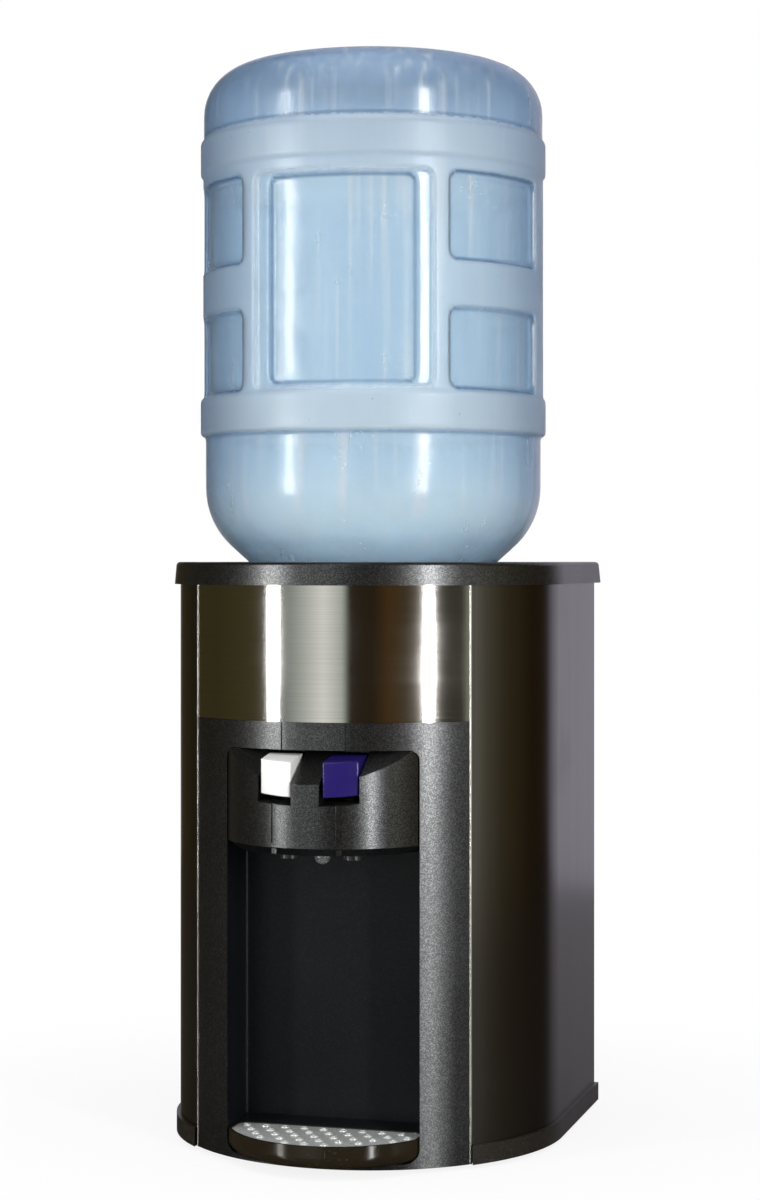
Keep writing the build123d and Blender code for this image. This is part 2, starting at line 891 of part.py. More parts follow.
jacket_inner = tank_radius + tank_wall + seam_gap
with BuildPart() as evaporator_jacket:
    with Locations((0, 0, jacket_bottom)):
        Cylinder(
            jacket_inner + jacket_wall, jacket_height, align=(Align.CENTER, Align.CENTER, Align.MIN)
        )
    with BuildSketch(Plane.XY.offset(jacket_bottom)):
        Circle(jacket_inner)
    extrude(amount=jacket_height, mode=Mode.SUBTRACT)
    for ring in range(jacket_beads):
        with BuildPart(mode=Mode.PRIVATE) as bead:
            Torus(jacket_inner + jacket_wall + bead_proud, bead_radius)
        with Locations((0, 0, jacket_bottom + jacket_height * (ring + 0.5) / jacket_beads)):
            add(bead.part, mode=Mode.SUBTRACT)
save(evaporator_jacket, "evaporator_jacket")

foam_inner = jacket_inner + jacket_wall + running_gap
foam_outer = foam_inner + foam_thickness
foam_radius = min(foam_outer, -alcove_back - moulding - running_gap)
port_heights = (jacket_bottom + port_inset, jacket_bottom + jacket_height - port_inset)
for side, sign in sides:
    with BuildPart() as insulation:
        with Locations((0, 0, foam_bottom)):
            Cylinder(
                foam_radius, foam_top - foam_bottom, align=(Align.CENTER, Align.CENTER, Align.MIN)
            )
        with Locations((0, 0, tank_bottom)):
            Cylinder(
                foam_inner,
                foam_top,
                align=(Align.CENTER, Align.CENTER, Align.MIN),
                mode=Mode.SUBTRACT,
            )
        with BuildSketch(Plane.XZ):
            with Locations((sign * tap_half, inlet_height)):
                Circle(pipe_radius + running_gap)
        extrude(amount=foam_radius + 5, mode=Mode.SUBTRACT)
        with BuildSketch(Plane.XZ):
            with Locations(*[(sign * port_x, z) for z in port_heights]):
                Circle(line_radius + 1)
        extrude(amount=-foam_radius - 5, mode=Mode.SUBTRACT)
        split(bisect_by=Plane.YZ, keep=Keep.TOP if sign > 0 else Keep.BOTTOM)
    save(insulation, f"{side}_insulation")

# Deck that carries the tank, folded down to the base floor at both sides
deck_front = alcove_back + moulding + 2
deck_back = body_back - sheet - 4
slot_y = deck_back - deck_slot_inset
with BuildPart() as tank_deck:
    with BuildSketch(Plane.XZ.offset(-deck_front)):
        with BuildLine():
            Polyline(
                (-deck_half_width, floor_top),
                (-deck_half_width, foam_bottom),
                (deck_half_width, foam_bottom),
                (deck_half_width, floor_top),
                (deck_half_width - deck_thickness, floor_top),
                (deck_half_width - deck_thickness, foam_bottom - deck_thickness),
                (-deck_half_width + deck_thickness, foam_bottom - deck_thickness),
                (-deck_half_width + deck_thickness, floor_top),
                close=True,
            )
        make_face()
    extrude(amount=deck_front - deck_back)
    with BuildSketch(Plane.XY.offset(foam_bottom)):
        with Locations((0, slot_y)):
            Rectangle(2 * (deck_half_width - deck_slot_margin), deck_slot_width)
    extrude(amount=-2 * deck_thickness, mode=Mode.SUBTRACT)
save(tank_deck, "tank_deck")

# Compressor on its rubber mounts
mount_places = [(sx * mount_x, compressor_y + sy * mount_y) for sx in (-1, 1) for sy in (-1, 1)]
compressor_top = compressor_bottom + compressor_height
seam_z = compressor_bottom + compressor_height * seam_share
with BuildPart() as compressor:
    with BuildSketch(Plane.XZ.offset(-compressor_y)) as shell:
        with BuildLine():
            Polyline(
                (0, compressor_bottom),
                (compressor_radius, compressor_bottom),
                (compressor_radius, seam_z - seam_half_height),
                (compressor_radius + seam_proud, seam_z - seam_half_height),
                (compressor_radius + seam_proud, seam_z + seam_half_height),
                (compressor_radius, seam_z + seam_half_height),
                (compressor_radius, compressor_top),
                (0, compressor_top),
                close=True,
            )
        make_face()
        fillet(shell.vertices().group_by(Axis.Y)[0].sort_by(Axis.X)[-1], shell_lower_round)
        fillet(shell.vertices().group_by(Axis.Y)[-1].sort_by(Axis.X)[-1], shell_upper_round)
    revolve(axis=Axis((0, compressor_y, 0), (0, 0, 1)))
    with BuildSketch(Plane.XY.offset(compressor_bottom)):
        with Locations((0, compressor_y)):
            RectangleRounded(2 * (mount_x + mount_margin), 2 * (mount_y + mount_margin), mount_margin - 2)
        with Locations(*mount_places):
            Circle(mount_hole, mode=Mode.SUBTRACT)
    extrude(amount=-mount_plate)
save(compressor, "compressor")

grommet_bottom = floor_top
grommet_top = compressor_bottom - mount_plate
with BuildPart() as compressor_grommets:
    with BuildSketch(Plane.XY.offset(grommet_bottom)):
        with Locations(*mount_places):
            Circle(grommet_radius)
            Circle(grommet_bore, mode=Mode.SUBTRACT)
    extrude(amount=grommet_top - grommet_bottom)
save(compressor_grommets, "compressor_grommets")

with BuildPart() as compressor_bolts:
    with BuildSketch(Plane.XY.offset(grommet_bottom)):
        with Locations(*mount_places):
            Circle(bolt_radius)
    extrude(amount=compressor_bottom - grommet_bottom)
    with BuildSketch(Plane.XY.offset(compressor_bottom)):
        with Locations(*mount_places):
            RegularPolygon(bolt_head_radius, 6)
    extrude(amount=bolt_head_height)
save(compressor_bolts, "compressor_bolts")

with BuildPart() as terminal_cover:
    with Locations((-compressor_radius - terminal_reach, compressor_y, compressor_bottom + terminal_rise)):
        Box(*terminal_size, align=(Align.CENTER, Align.CENTER, Align.MIN))
    fillet(terminal_cover.edges().filter_by(Axis.Z), 3)
    with Locations((0, compressor_y, 0)):
        Cylinder(
            compressor_radius + seam_proud + running_gap,
            2 * cover_top,
            mode=Mode.SUBTRACT,
        )
save(terminal_cover, "terminal_cover")

# Condenser: one serpentine tube, wires on both sides of it, brackets that space it from the wall
with BuildPart() as condenser_tube:
    turns = [(condenser_inlet[0], y, condenser_top) for y in (condenser_end_y, condenser_y)]
    reach = -condenser_half_width
    for index in range(condenser_passes):
        z = condenser_top - condenser_pitch * index
        turns.append((reach, condenser_y, z))
        if index < condenser_passes - 1:
            turns.append((reach, condenser_y, z - condenser_pitch))
            reach = -reach
    turns[-1] = (condenser_outlet[0], condenser_y, condenser_bottom)
    turns.append((condenser_outlet[0], condenser_end_y, condenser_bottom))
    with BuildLine() as serpentine:
        FilletPolyline(*turns, radius=condenser_bend)
    with BuildSketch(Plane(origin=serpentine.line @ 0, z_dir=serpentine.line % 0)):
        Circle(condenser_tube_radius)
    sweep(path=serpentine.line)
save(condenser_tube, "condenser_tube")

wire_span = 2 * (condenser_half_width - wire_margin)
wire_offset = condenser_tube_radius + wire_radius + weld_gap
with BuildPart() as condenser_wires:
    with BuildSketch(Plane.XY.offset(condenser_bottom - wire_reach)):
        for face_y in (condenser_y - wire_offset, condenser_y + wire_offset):
            with Locations((0, face_y)):
                with GridLocations(wire_span / (wire_count - 1), 1, wire_count, 1):
                    RegularPolygon(wire_radius, 6)
    extrude(amount=condenser_top - condenser_bottom + 2 * wire_reach)
save(condenser_wires, "condenser_wires")

bracket_x = condenser_half_width - bracket_inset
bracket_rows = (condenser_bottom + condenser_pitch, condenser_top - condenser_pitch)
with BuildPart() as condenser_brackets:
    with BuildSketch(Plane.XZ.offset(-(body_back + sheet))):
        with Locations(*[(sign * bracket_x, z) for sign in (-1, 1) for z in bracket_rows]):
            RectangleRounded(bracket_size, bracket_size, 2)
    extrude(amount=-(rear_reach - body_back - sheet))
    with BuildSketch(Plane.YZ.offset(-condenser_half_width)):
        with Locations(*[(condenser_y, z) for z in bracket_rows]):
            Circle(condenser_tube_radius + weld_gap)
    extrude(amount=2 * condenser_half_width, mode=Mode.SUBTRACT)
save(condenser_brackets, "condenser_brackets")

# Drier, capillary and the lines between compressor, condenser and jacket
drier_x = condenser_outlet[0]
drier_y = condenser_end_y - drier_radius - 1
drier_bottom = condenser_bottom - drier_drop
drier_top = drier_bottom + drier_length
with BuildPart() as filter_drier:
    with BuildSketch(Plane.XY.offset(drier_bottom)):
        with Locations((drier_x, drier_y)):
            Circle(drier_radius)
    extrude(amount=drier_length)
    fillet(filter_drier.edges().filter_by(GeomType.CIRCLE), drier_round)
    with BuildSketch(Plane.XZ.offset(-condenser_end_y)):
        with Locations((drier_x, condenser_bottom)):
            Circle(condenser_tube_radius)
    extrude(amount=drier_radius)
save(filter_drier, "filter_drier")

feed_z, return_z = port_heights


def butt_y(radius, tube):
    """How far behind an upright cylinder's axis a tube at the ports' x ends, just clear of it."""
    return sqrt(radius**2 - (port_x - tube) ** 2) + weld_gap


capillary = bent_tube(
    [
        (drier_x, drier_y, drier_top),
        (drier_x, drier_y, foam_bottom - capillary_drop),
        (-port_x, slot_y, foam_bottom - capillary_drop),
        (-port_x, slot_y, feed_z),
        (-port_x, butt_y(jacket_inner + jacket_wall, capillary_radius), feed_z),
    ],
    capillary_bend,
    capillary_radius,
)
save(capillary, "capillary_tube")

suction = bent_tube(
    [
        (port_x, butt_y(jacket_inner + jacket_wall, line_radius), return_z),
        (port_x, slot_y, return_z),
        (port_x, slot_y, seam_z + suction_rise),
        (port_x, compressor_y + butt_y(compressor_radius, line_radius), seam_z + suction_rise),
    ],
    line_bend,
    line_radius,
)
save(suction, "suction_line")

discharge = bent_tube(
    [
        (compressor_radius + weld_gap, compressor_y, seam_z - discharge_drop),
        (condenser_inlet[0], compressor_y, seam_z - discharge_drop),
        (condenser_inlet[0], slot_y, seam_z - discharge_drop),
        (condenser_inlet[0], slot_y, condenser_top),
        (condenser_inlet[0], condenser_end_y, condenser_top),
    ],
    line_bend,
    condenser_tube_radius,
)
save(discharge, "discharge_line")

with BuildPart() as cold_thermostat:
    with Locations((thermostat_place[0], body_back - thermostat_size[1] / 2, thermostat_place[1])):
        Box(*thermostat_size)
    fillet(cold_thermostat.edges().filter_by(Axis.Y), 3)
    with BuildSketch(Plane.XZ.offset(-body_back)):
        with Locations(thermostat_place):
            Circle(dial_radius)
            Rectangle(1.25 * dial_radius, 0.3 * dial_radius, mode=Mode.SUBTRACT)
    extrude(amount=-dial_height)
save(cold_thermostat, "cold_thermostat")

# Alcove liner: back and side walls, floor under the tray, shelf behind it, roof over the hood
liner_half = opening_half_width + moulding
liner_bottom = floor_top
with BuildPart() as alcove_liner:
    with BuildSketch(Plane.XY.offset(liner_bottom)):
        with Locations((0, plan_y)):
            Circle(fascia_inner - running_gap)
        with Locations((0, alcove_back + moulding)):
            Rectangle(
                2 * liner_half, 2 * alcove_depth, align=(Align.CENTER, Align.MAX), mode=Mode.INTERSECT
            )
    extrude(amount=opening_top - liner_bottom + moulding)
    with BuildSketch(Plane.XY.offset(opening_bottom)) as room:
        with Locations((0, alcove_back)):
            Rectangle(2 * opening_half_width, 3 * alcove_depth, align=(Align.CENTER, Align.MAX))
        fillet(room.vertices().group_by(Axis.Y)[-1], alcove_corner)
    extrude(amount=opening_top - opening_bottom, mode=Mode.SUBTRACT)
    with BuildSketch(Plane.YZ.offset(-opening_half_width)):
        with BuildLine():
            Polyline(
                (alcove_back, opening_bottom),
                (alcove_back, shelf_height),
                (alcove_back - shelf_flat, shelf_height - shelf_fall),
                (alcove_back - shelf_depth, shelf_height - shelf_drop),
                (alcove_back - shelf_depth, opening_bottom),
                close=True,
            )
        make_face()
    extrude(amount=2 * opening_half_width)
    with BuildSketch(Plane.XZ.offset(-alcove_back)):
        with Locations((-tap_half, inlet_height), (tap_half, inlet_height)):
            Circle(pipe_radius + running_gap)
    extrude(amount=-2 * moulding, mode=Mode.SUBTRACT)
save(alcove_liner, "alcove_liner")


# Faucet hood: an arched shell with a sloping brow, two lever slots and a bevelled lower edge
def hood_block(inset):
    """The hood's outer form, each face moved inwards by the inset."""
    half = hood_half_width - inset
    low = hood_bottom + inset
    high = hood_top - inset
    arc = hood_radius - inset
    front = hood_centre_y - arc
    root = hood_centre_y - sqrt(arc**2 - half**2)
    slope = tan(radians(hood_slope))
    brow = hood_arris - inset / cos(radians(hood_slope)) + inset * slope
    with BuildPart() as block:
        with BuildSketch(Plane.XY.offset(low)) as footprint:
            with BuildLine():
                Line((half, root), (half, alcove_back))
                Line((half, alcove_back), (-half, alcove_back))
                Line((-half, alcove_back), (-half, root))
                ThreePointArc((-half, root), (0, front), (half, root))
            make_face()
            fillet(footprint.vertices().group_by(Axis.Y)[-1], alcove_corner + 1)
        extrude(amount=high - low)
        upper_sides = block.edges().filter_by(Axis.Y).group_by(Axis.Z)[-1]
        fillet(upper_sides, opening_top_corner - hood_gap - inset)
        lower_arc = block.edges().filter_by(GeomType.CIRCLE).group_by(Axis.Z)[0].sort_by(Axis.Y)[0]
        chamfer(lower_arc, hood_bevel_depth, hood_bevel_height)
        with BuildSketch(Plane.YZ.offset(-2 * half)):
            with BuildLine():
                Polyline(
                    (front - 20, brow - 20 * slope),
                    (front + 120, brow + 120 * slope),
                    (front - 20, brow + 120 * slope),
                    close=True,
                )
            make_face()
        extrude(amount=4 * half, mode=Mode.SUBTRACT)
    return block.part


tap_xs = [(-tap_half, spout_y), (tap_half, spout_y)]
sill_rise = tan(radians(sill_slope))
with BuildPart() as faucet_hood:
    add(hood_block(0))
    add(hood_block(moulding), mode=Mode.SUBTRACT)
    with Locations((0, alcove_back, hood_bottom + moulding)):
        Box(
            2 * (hood_half_width - moulding),
            4 * moulding,
            hood_top - hood_bottom - 2 * moulding,
            align=(Align.CENTER, Align.CENTER, Align.MIN),
            mode=Mode.SUBTRACT,
        )
    with BuildPart(mode=Mode.PRIVATE) as sills:
        with Locations(*[(sign * tap_half, hood_front, slot_sill - 8) for sign in (-1, 1)]):
            Box(
                slot_width + 2 * moulding,
                2 * (sill_depth + 6),
                sill_depth * 2,
                align=(Align.CENTER, Align.CENTER, Align.MIN),
            )
        add(hood_block(moulding / 2), mode=Mode.INTERSECT)
    add(sills.part)
    for sign in (-1, 1):
        with BuildSketch(Plane.YZ.offset(sign * tap_half - slot_width / 2)):
            with BuildLine():
                Polyline(
                    (hood_front - 10, slot_sill - 10 * sill_rise),
                    (hood_front + sill_depth + 10, slot_sill + (sill_depth + 10) * sill_rise),
                    (front_y + 30, slot_sill + (sill_depth + 10) * sill_rise),
                    (front_y + 30, hood_top + 10),
                    (hood_front - 10, hood_top + 10),
                    close=True,
                )
            make_face()
        extrude(amount=slot_width, mode=Mode.SUBTRACT)
    groove_floor = hood_radius - groove_depth
    with BuildSketch(Plane.XY.offset(hood_bottom + hood_bevel_height)):
        with Locations((-tap_half, hood_front), (tap_half, hood_front)):
            Rectangle(groove_width, 60)
        with Locations((0, hood_centre_y)):
            Circle(groove_floor, mode=Mode.SUBTRACT)
    extrude(amount=slot_sill - hood_bottom - hood_bevel_height + 2, mode=Mode.SUBTRACT)
    with BuildSketch(Plane.XY.offset(hood_bottom + tab_rise)):
        with Locations((-tap_half, hood_front), (tap_half, hood_front)):
            Rectangle(groove_width, 2 * tab_depth)
        with Locations((0, hood_centre_y)):
            Circle(groove_floor, mode=Mode.INTERSECT)
    extrude(amount=hood_bevel_height - tab_rise + 1)
    with BuildSketch(Plane.XY.offset(hood_bottom - 1)):
        with Locations(*tap_xs):
            Circle(spout_radius + running_gap)
        with Locations((0, lamp_y)):
            Circle(lamp_radius + seam_gap)
    extrude(amount=moulding + 2, mode=Mode.SUBTRACT)
save(faucet_hood, "faucet_hood")

with BuildPart() as lamp_lens:
    with Locations((0, lamp_y, lamp_height)):
        Sphere(lamp_radius)
        Sphere(lamp_radius - lamp_wall, mode=Mode.SUBTRACT)
        Cylinder(
            lamp_radius,
            hood_bottom + moulding - lamp_height,
            align=(Align.CENTER, Align.CENTER, Align.MIN),
        )
        Cylinder(
            lamp_radius - lamp_wall,
            4 * lamp_radius,
            align=(Align.CENTER, Align.CENTER, Align.MIN),
            mode=Mode.SUBTRACT,
        )
save(lamp_lens, "lamp_lens")

with BuildPart() as lamp_socket:
    with Locations((0, lamp_y, hood_bottom + moulding)):
        Cylinder(lamp_radius + socket_wall, socket_height, align=(Align.CENTER, Align.CENTER, Align.MIN))
save(lamp_socket, "lamp_socket")

# Taps: body, bonnet with the lever's ears, plunger, seal, spring, pin and lever
chamber_outer = chamber_radius + chamber_wall
bonnet_top = chamber_top + bonnet_height
arm_half = ear_inner - arm_gap
fork_half = stem_radius + fork_play
cap_clear = ear_radius + cap_room
lever_front = hood_front + lever_recess
lever_heel = pivot_y - cap_clear - 1
lever_arc = hood_radius - lever_recess
for colour, sign in taps:
    x = sign * tap_half
    with BuildPart() as faucet_body:
        with BuildSketch(Plane.XY.offset(seat_height - 4)):
            with Locations((x, spout_y)):
                Circle(chamber_outer)
        extrude(amount=chamber_top - seat_height + 4)
        with BuildSketch(Plane.XY.offset(spout_bottom)):
            with Locations((x, spout_y)):
                Circle(spout_radius)
        extrude(amount=seat_height - spout_bottom)
        with BuildSketch(Plane.XZ.offset(-spout_y)):
            with Locations((x, inlet_height)):
                Circle(pipe_radius + 2.5)
        extrude(amount=-(alcove_back - 0.5 - spout_y))
        with BuildSketch(Plane.XY.offset(seat_height)):
            with Locations((x, spout_y)):
                Circle(chamber_radius)
        extrude(amount=chamber_top, mode=Mode.SUBTRACT)
        with BuildSketch(Plane.XY.offset(spout_bottom)):
            with Locations((x, spout_y)):
                Circle(outlet_radius)
        extrude(amount=seat_height - spout_bottom, mode=Mode.SUBTRACT)
        with BuildSketch(Plane.XZ.offset(-spout_y)):
            with Locations((x, inlet_height)):
                Circle(inlet_radius)
        extrude(amount=-alcove_depth, mode=Mode.SUBTRACT)
        with BuildSketch(Plane.XZ.offset(-(alcove_back - pipe_socket - running_gap))):
            with Locations((x, inlet_height)):
                Circle(pipe_radius + seam_gap)
        extrude(amount=-alcove_depth, mode=Mode.SUBTRACT)
    save(faucet_body, f"{colour}_faucet_body")

    with BuildPart() as faucet_bonnet:
        with BuildSketch(Plane.XY.offset(chamber_top)):
            with Locations((x, spout_y)):
                Circle(chamber_outer)
                Circle(stem_radius + running_gap, mode=Mode.SUBTRACT)
        extrude(amount=bonnet_height)
        for ear in (-1, 1):
            with BuildSketch(Plane.YZ.offset(x + ear * (ear_inner + ear_outer) / 2)):
                with BuildLine():
                    Polyline(
                        (spout_y - 2, chamber_top),
                        (spout_y - 2, bonnet_top + 2),
                        (pivot_y + ear_radius, pivot_height + 1),
                        (pivot_y, pivot_height),
                        (pivot_y - ear_radius + 1, pivot_height - 3),
                        (spout_y - 9, chamber_top),
                        close=True,
                    )
                make_face()
                with Locations((pivot_y, pivot_height)):
                    Circle(ear_radius)
                    Circle(pin_radius, mode=Mode.SUBTRACT)
            extrude(amount=(ear_outer - ear_inner) / 2, both=True)
    save(faucet_bonnet, f"{colour}_faucet_bonnet")

    with BuildPart() as lever_pin:
        with BuildSketch(Plane.YZ.offset(x)):
            with Locations((pivot_y, pivot_height)):
                Circle(pin_radius)
        extrude(amount=ear_outer, both=True)
    save(lever_pin, f"{colour}_lever_pin")

    seal_bottom = seat_height + seal_gap
    with BuildPart() as valve_stem:
        with BuildSketch(Plane.XY.offset(seal_bottom + seal_height)):
            with Locations((x, spout_y)):
                Circle(stem_radius)
        extrude(amount=stem_head_bottom - seal_bottom - seal_height)
        with BuildSketch(Plane.XY.offset(stem_head_bottom)):
            with Locations((x, spout_y)):
                Circle(stem_head_radius)
        extrude(amount=stem_head_height)
        fillet(valve_stem.edges().sort_by(Axis.Z)[-1], stem_head_round)
    save(valve_stem, f"{colour}_valve_stem")

    with BuildPart() as valve_seal:
        with BuildSketch(Plane.XY.offset(seal_bottom)):
            with Locations((x, spout_y)):
                Circle(seal_radius)
        extrude(amount=seal_height)
        chamfer(valve_seal.edges().sort_by(Axis.Z)[-1], seal_bevel)
    save(valve_seal, f"{colour}_valve_seal")

    spring_bottom = seal_bottom + seal_height + spring_wire
    spring_height = chamber_top - spring_bottom - spring_wire
    with BuildPart() as return_spring:
        with BuildLine() as coil:
            Helix(
                spring_height / spring_turns,
                spring_height,
                spring_radius,
                center=(x, spout_y, spring_bottom),
            )
        with BuildSketch(Plane(origin=coil.line @ 0, z_dir=coil.line % 0)):
            RegularPolygon(spring_wire / 2, 6)
        sweep(path=coil.line, is_frenet=True)
    save(return_spring, f"{colour}_return_spring")

    with BuildPart() as lever:
        with BuildSketch(Plane.YZ.offset(x - lever_width / 2)):
            with BuildLine():
                Polyline(
                    (lever_front - 12, lever_front_top - 2),
                    (front_y + 9, lever_back_top),
                    (front_y + 9, pivot_height + cap_clear + 2),
                    (lever_heel, pivot_height + cap_clear),
                    (lever_heel, lever_bottom + (lever_heel - lever_front) * sill_rise),
                    (lever_front - 12, lever_bottom - 12 * sill_rise),
                    close=True,
                )
            make_face()
        extrude(amount=lever_width)
        with BuildSketch(Plane.XY.offset(lever_bottom - 20)):
            with Locations((0, hood_centre_y)):
                Circle(lever_arc)
        extrude(amount=60, mode=Mode.INTERSECT)
        fillet(lever.faces().filter_by(GeomType.CYLINDER).edges(), lever_edge)
        with BuildSketch(Plane.YZ.offset(x)):
            with BuildLine():
                Polyline(
                    (pivot_y - cap_clear - 2, pivot_height + cap_clear + 1),
                    (front_y + 8, pivot_height + cap_clear + 3),
                    (spout_y + 4, pivot_height + 1),
                    (spout_y + 4, pivot_height - 3),
                    (pivot_y, pivot_height - ear_radius),
                    (pivot_y - cap_clear - 2, pivot_height - ear_radius),
                    close=True,
                )
            make_face()
            with Locations((pivot_y, pivot_height)):
                Circle(pin_radius + pin_play, mode=Mode.SUBTRACT)
        extrude(amount=arm_half, both=True)
        with Locations((x, spout_y - fork_half, pivot_height - 10)):
            Box(
                2 * fork_half,
                20,
                40,
                align=(Align.CENTER, Align.MIN, Align.MIN),
                mode=Mode.SUBTRACT,
            )
        with Locations((x, spout_y, pivot_height + 1)):
            Cylinder(
                stem_head_radius + stem_head_play,
                40,
                align=(Align.CENTER, Align.CENTER, Align.MIN),
                mode=Mode.SUBTRACT,
            )
    save(lever, f"{colour}_lever")


# Drip tray: a bowl that follows the hood's arc, with a ledge for the grid
def tray_plan(inset, height):
    """The tray's outline moved inwards."""
    half = tray_half_width - inset
    arc = hood_radius - inset
    root = hood_centre_y - sqrt(arc**2 - half**2)
    with BuildSketch(Plane.XY.offset(height)) as plan:
        with BuildLine():
            Line((half, root), (half, tray_rear_y - inset))
            Line((half, tray_rear_y - inset), (-half, tray_rear_y - inset))
            Line((-half, tray_rear_y - inset), (-half, root))
            ThreePointArc((-half, root), (0, hood_centre_y - arc), (half, root))
        make_face()
        fillet(plan.vertices(), tray_round - inset)
    return plan.sketch


ledge_z = tray_top - grid_sink - grid_thickness
with BuildPart() as drip_tray:
    extrude(tray_plan(0, tray_bottom), amount=tray_top - tray_bottom)
    fillet(drip_tray.faces().sort_by(Axis.Z)[0].edges(), tray_corner)
    with BuildPart(mode=Mode.PRIVATE) as bowl:
        extrude(tray_plan(tray_wall + tray_ledge, tray_bottom + tray_wall), amount=tray_top)
        fillet(bowl.faces().sort_by(Axis.Z)[0].edges(), tray_corner - tray_wall - tray_ledge)
    add(bowl.part, mode=Mode.SUBTRACT)
    extrude(tray_plan(tray_wall, ledge_z), amount=tray_top, mode=Mode.SUBTRACT)
save(drip_tray, "drip_tray")

with BuildPart() as drip_grid:
    extrude(tray_plan(tray_wall + running_gap, ledge_z), amount=grid_thickness)
    with BuildSketch(Plane.XY.offset(ledge_z)):
        for row in range(grid_rows):
            shift = grid_pitch / 4 if row % 2 else -grid_pitch / 4
            with Locations((shift, tray_rear_y - grid_margin - row * grid_row)):
                with GridLocations(grid_pitch, 1, grid_columns, 1):
                    Circle(grid_hole / 2)
        add(tray_plan(tray_wall + running_gap + grid_hole, 0), mode=Mode.INTERSECT)
    extrude(amount=grid_thickness, mode=Mode.SUBTRACT)
save(drip_grid, "drip_grid")
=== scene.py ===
# %% [markdown]
# # A countertop water dispenser
# The cabinet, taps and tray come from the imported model, which is already at its real size and place.
# This lesson adds what a solid model can't hold: finishes, a blown bottle, small repeated details, a camera
# and a plain studio.

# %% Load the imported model
import json
from math import cos, pi, radians, sin, tan

import bmesh
import bpy
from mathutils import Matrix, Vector


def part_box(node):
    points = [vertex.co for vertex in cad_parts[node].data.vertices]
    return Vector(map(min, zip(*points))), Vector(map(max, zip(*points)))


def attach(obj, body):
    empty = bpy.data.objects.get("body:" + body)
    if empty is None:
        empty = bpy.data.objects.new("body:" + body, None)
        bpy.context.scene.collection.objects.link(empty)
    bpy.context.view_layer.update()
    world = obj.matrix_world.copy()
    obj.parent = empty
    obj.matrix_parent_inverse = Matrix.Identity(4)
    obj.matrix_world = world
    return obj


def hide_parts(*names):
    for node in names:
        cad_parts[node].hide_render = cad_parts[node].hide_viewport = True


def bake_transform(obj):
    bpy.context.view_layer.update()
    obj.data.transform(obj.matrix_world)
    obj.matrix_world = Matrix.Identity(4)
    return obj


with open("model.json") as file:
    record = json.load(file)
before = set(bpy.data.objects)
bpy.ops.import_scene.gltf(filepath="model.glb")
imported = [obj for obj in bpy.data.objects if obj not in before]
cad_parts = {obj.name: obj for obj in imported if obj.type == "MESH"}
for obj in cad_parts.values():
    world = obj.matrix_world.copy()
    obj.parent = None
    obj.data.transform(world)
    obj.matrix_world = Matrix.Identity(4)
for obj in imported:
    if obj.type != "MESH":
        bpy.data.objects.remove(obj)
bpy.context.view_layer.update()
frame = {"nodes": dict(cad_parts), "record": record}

# %% [markdown]
# ## The camera
# The product was photographed from a little to its right, at about half its height, with a long lens.
# The camera is level, so upright edges stay upright, and a small downward shift frames the cabinet instead
# of a tilt.

# %% Place the camera
camera_data = bpy.data.cameras.new("view_from_front_right")
camera_data.sensor_width = 36
camera_data.lens = 76.78
camera_data.shift_y = -0.0329
camera = bpy.data.objects.new("view_from_front_right", camera_data)
camera.location = (0.5586, -1.9293, 0.4451)
camera.rotation_euler = (radians(90), 0, 0.2792)
bpy.context.scene.collection.objects.link(camera)
bpy.context.scene.camera = camera
bpy.context.scene.view_settings.view_transform = "Standard"
print("camera distance in m:", round(camera.location.length, 2))

# %% [markdown]
# ## The floor
# The dispenser stands on a white sheet. A lit sheet always turns grey where the light falls off, so the eye
# sees a mix of the lit paper and plain white. The lit part keeps the soft shadow under the cabinet, and the
# mix grows to pure white before the sheet ends, so no edge shows. Shiny surfaces see a polished table top
# instead, which carries the reflections of the room on downwards, only dimmer.

# %% Helpers for node trees
def new_tree(owner):
    """Gives a material or world an empty node tree and returns its nodes and links."""
    owner.use_nodes = True
    owner.node_tree.nodes.clear()
    return owner.node_tree.nodes, owner.node_tree.links


def math_node(tree, operation, first, second=None, third=None):
    """A math node whose inputs are sockets or numbers; returns its output socket."""
    node = tree.nodes.new("ShaderNodeMath")
    node.operation = operation
    for index, value in enumerate((first, second, third)):
        if value is None:
            continue
        if isinstance(value, (int, float)):
            node.inputs[index].default_value = value
        else:
            tree.links.new(value, node.inputs[index])
    return node.outputs[0]


def ramp(tree, value, low, high):
    """Turns a value into 0 below low and 1 above high, smoothly between; the ends may be sockets."""
    node = tree.nodes.new("ShaderNodeMapRange")
    node.interpolation_type = "SMOOTHSTEP"
    for socket, end in (("From Min", low), ("From Max", high)):
        if isinstance(end, (int, float)):
            node.inputs[socket].default_value = end
        else:
            tree.links.new(end, node.inputs[socket])
    tree.links.new(value, node.inputs["Value"])
    return node.outputs[0]


def blend_colour(tree, factor, first, second):
    """Mixes two colours by a factor; each may be a socket or a plain value."""
    node = tree.nodes.new("ShaderNodeMix")
    node.data_type = "RGBA"
    for socket, value in ((node.inputs[0], factor), (node.inputs[6], first), (node.inputs[7], second)):
        if isinstance(value, bpy.types.NodeSocket):
            tree.links.new(value, socket)
        else:
            socket.default_value = value
    return node.outputs[2]


def object_place(tree):
    """The point's own place on the piece, in metres."""
    return tree.nodes.new("ShaderNodeTexCoord").outputs["Object"]


def length_of(tree, vector):
    """The length of a vector socket."""
    node = tree.nodes.new("ShaderNodeVectorMath")
    node.operation = "LENGTH"
    tree.links.new(vector, node.inputs[0])
    return node.outputs["Value"]


def mix_shader(tree, factor, first, second):
    """Mixes two shader nodes by a factor socket; returns the mix node."""
    node = tree.nodes.new("ShaderNodeMixShader")
    tree.links.new(factor, node.inputs[0])
    tree.links.new(first.outputs[0], node.inputs[1])
    tree.links.new(second.outputs[0], node.inputs[2])
    return node


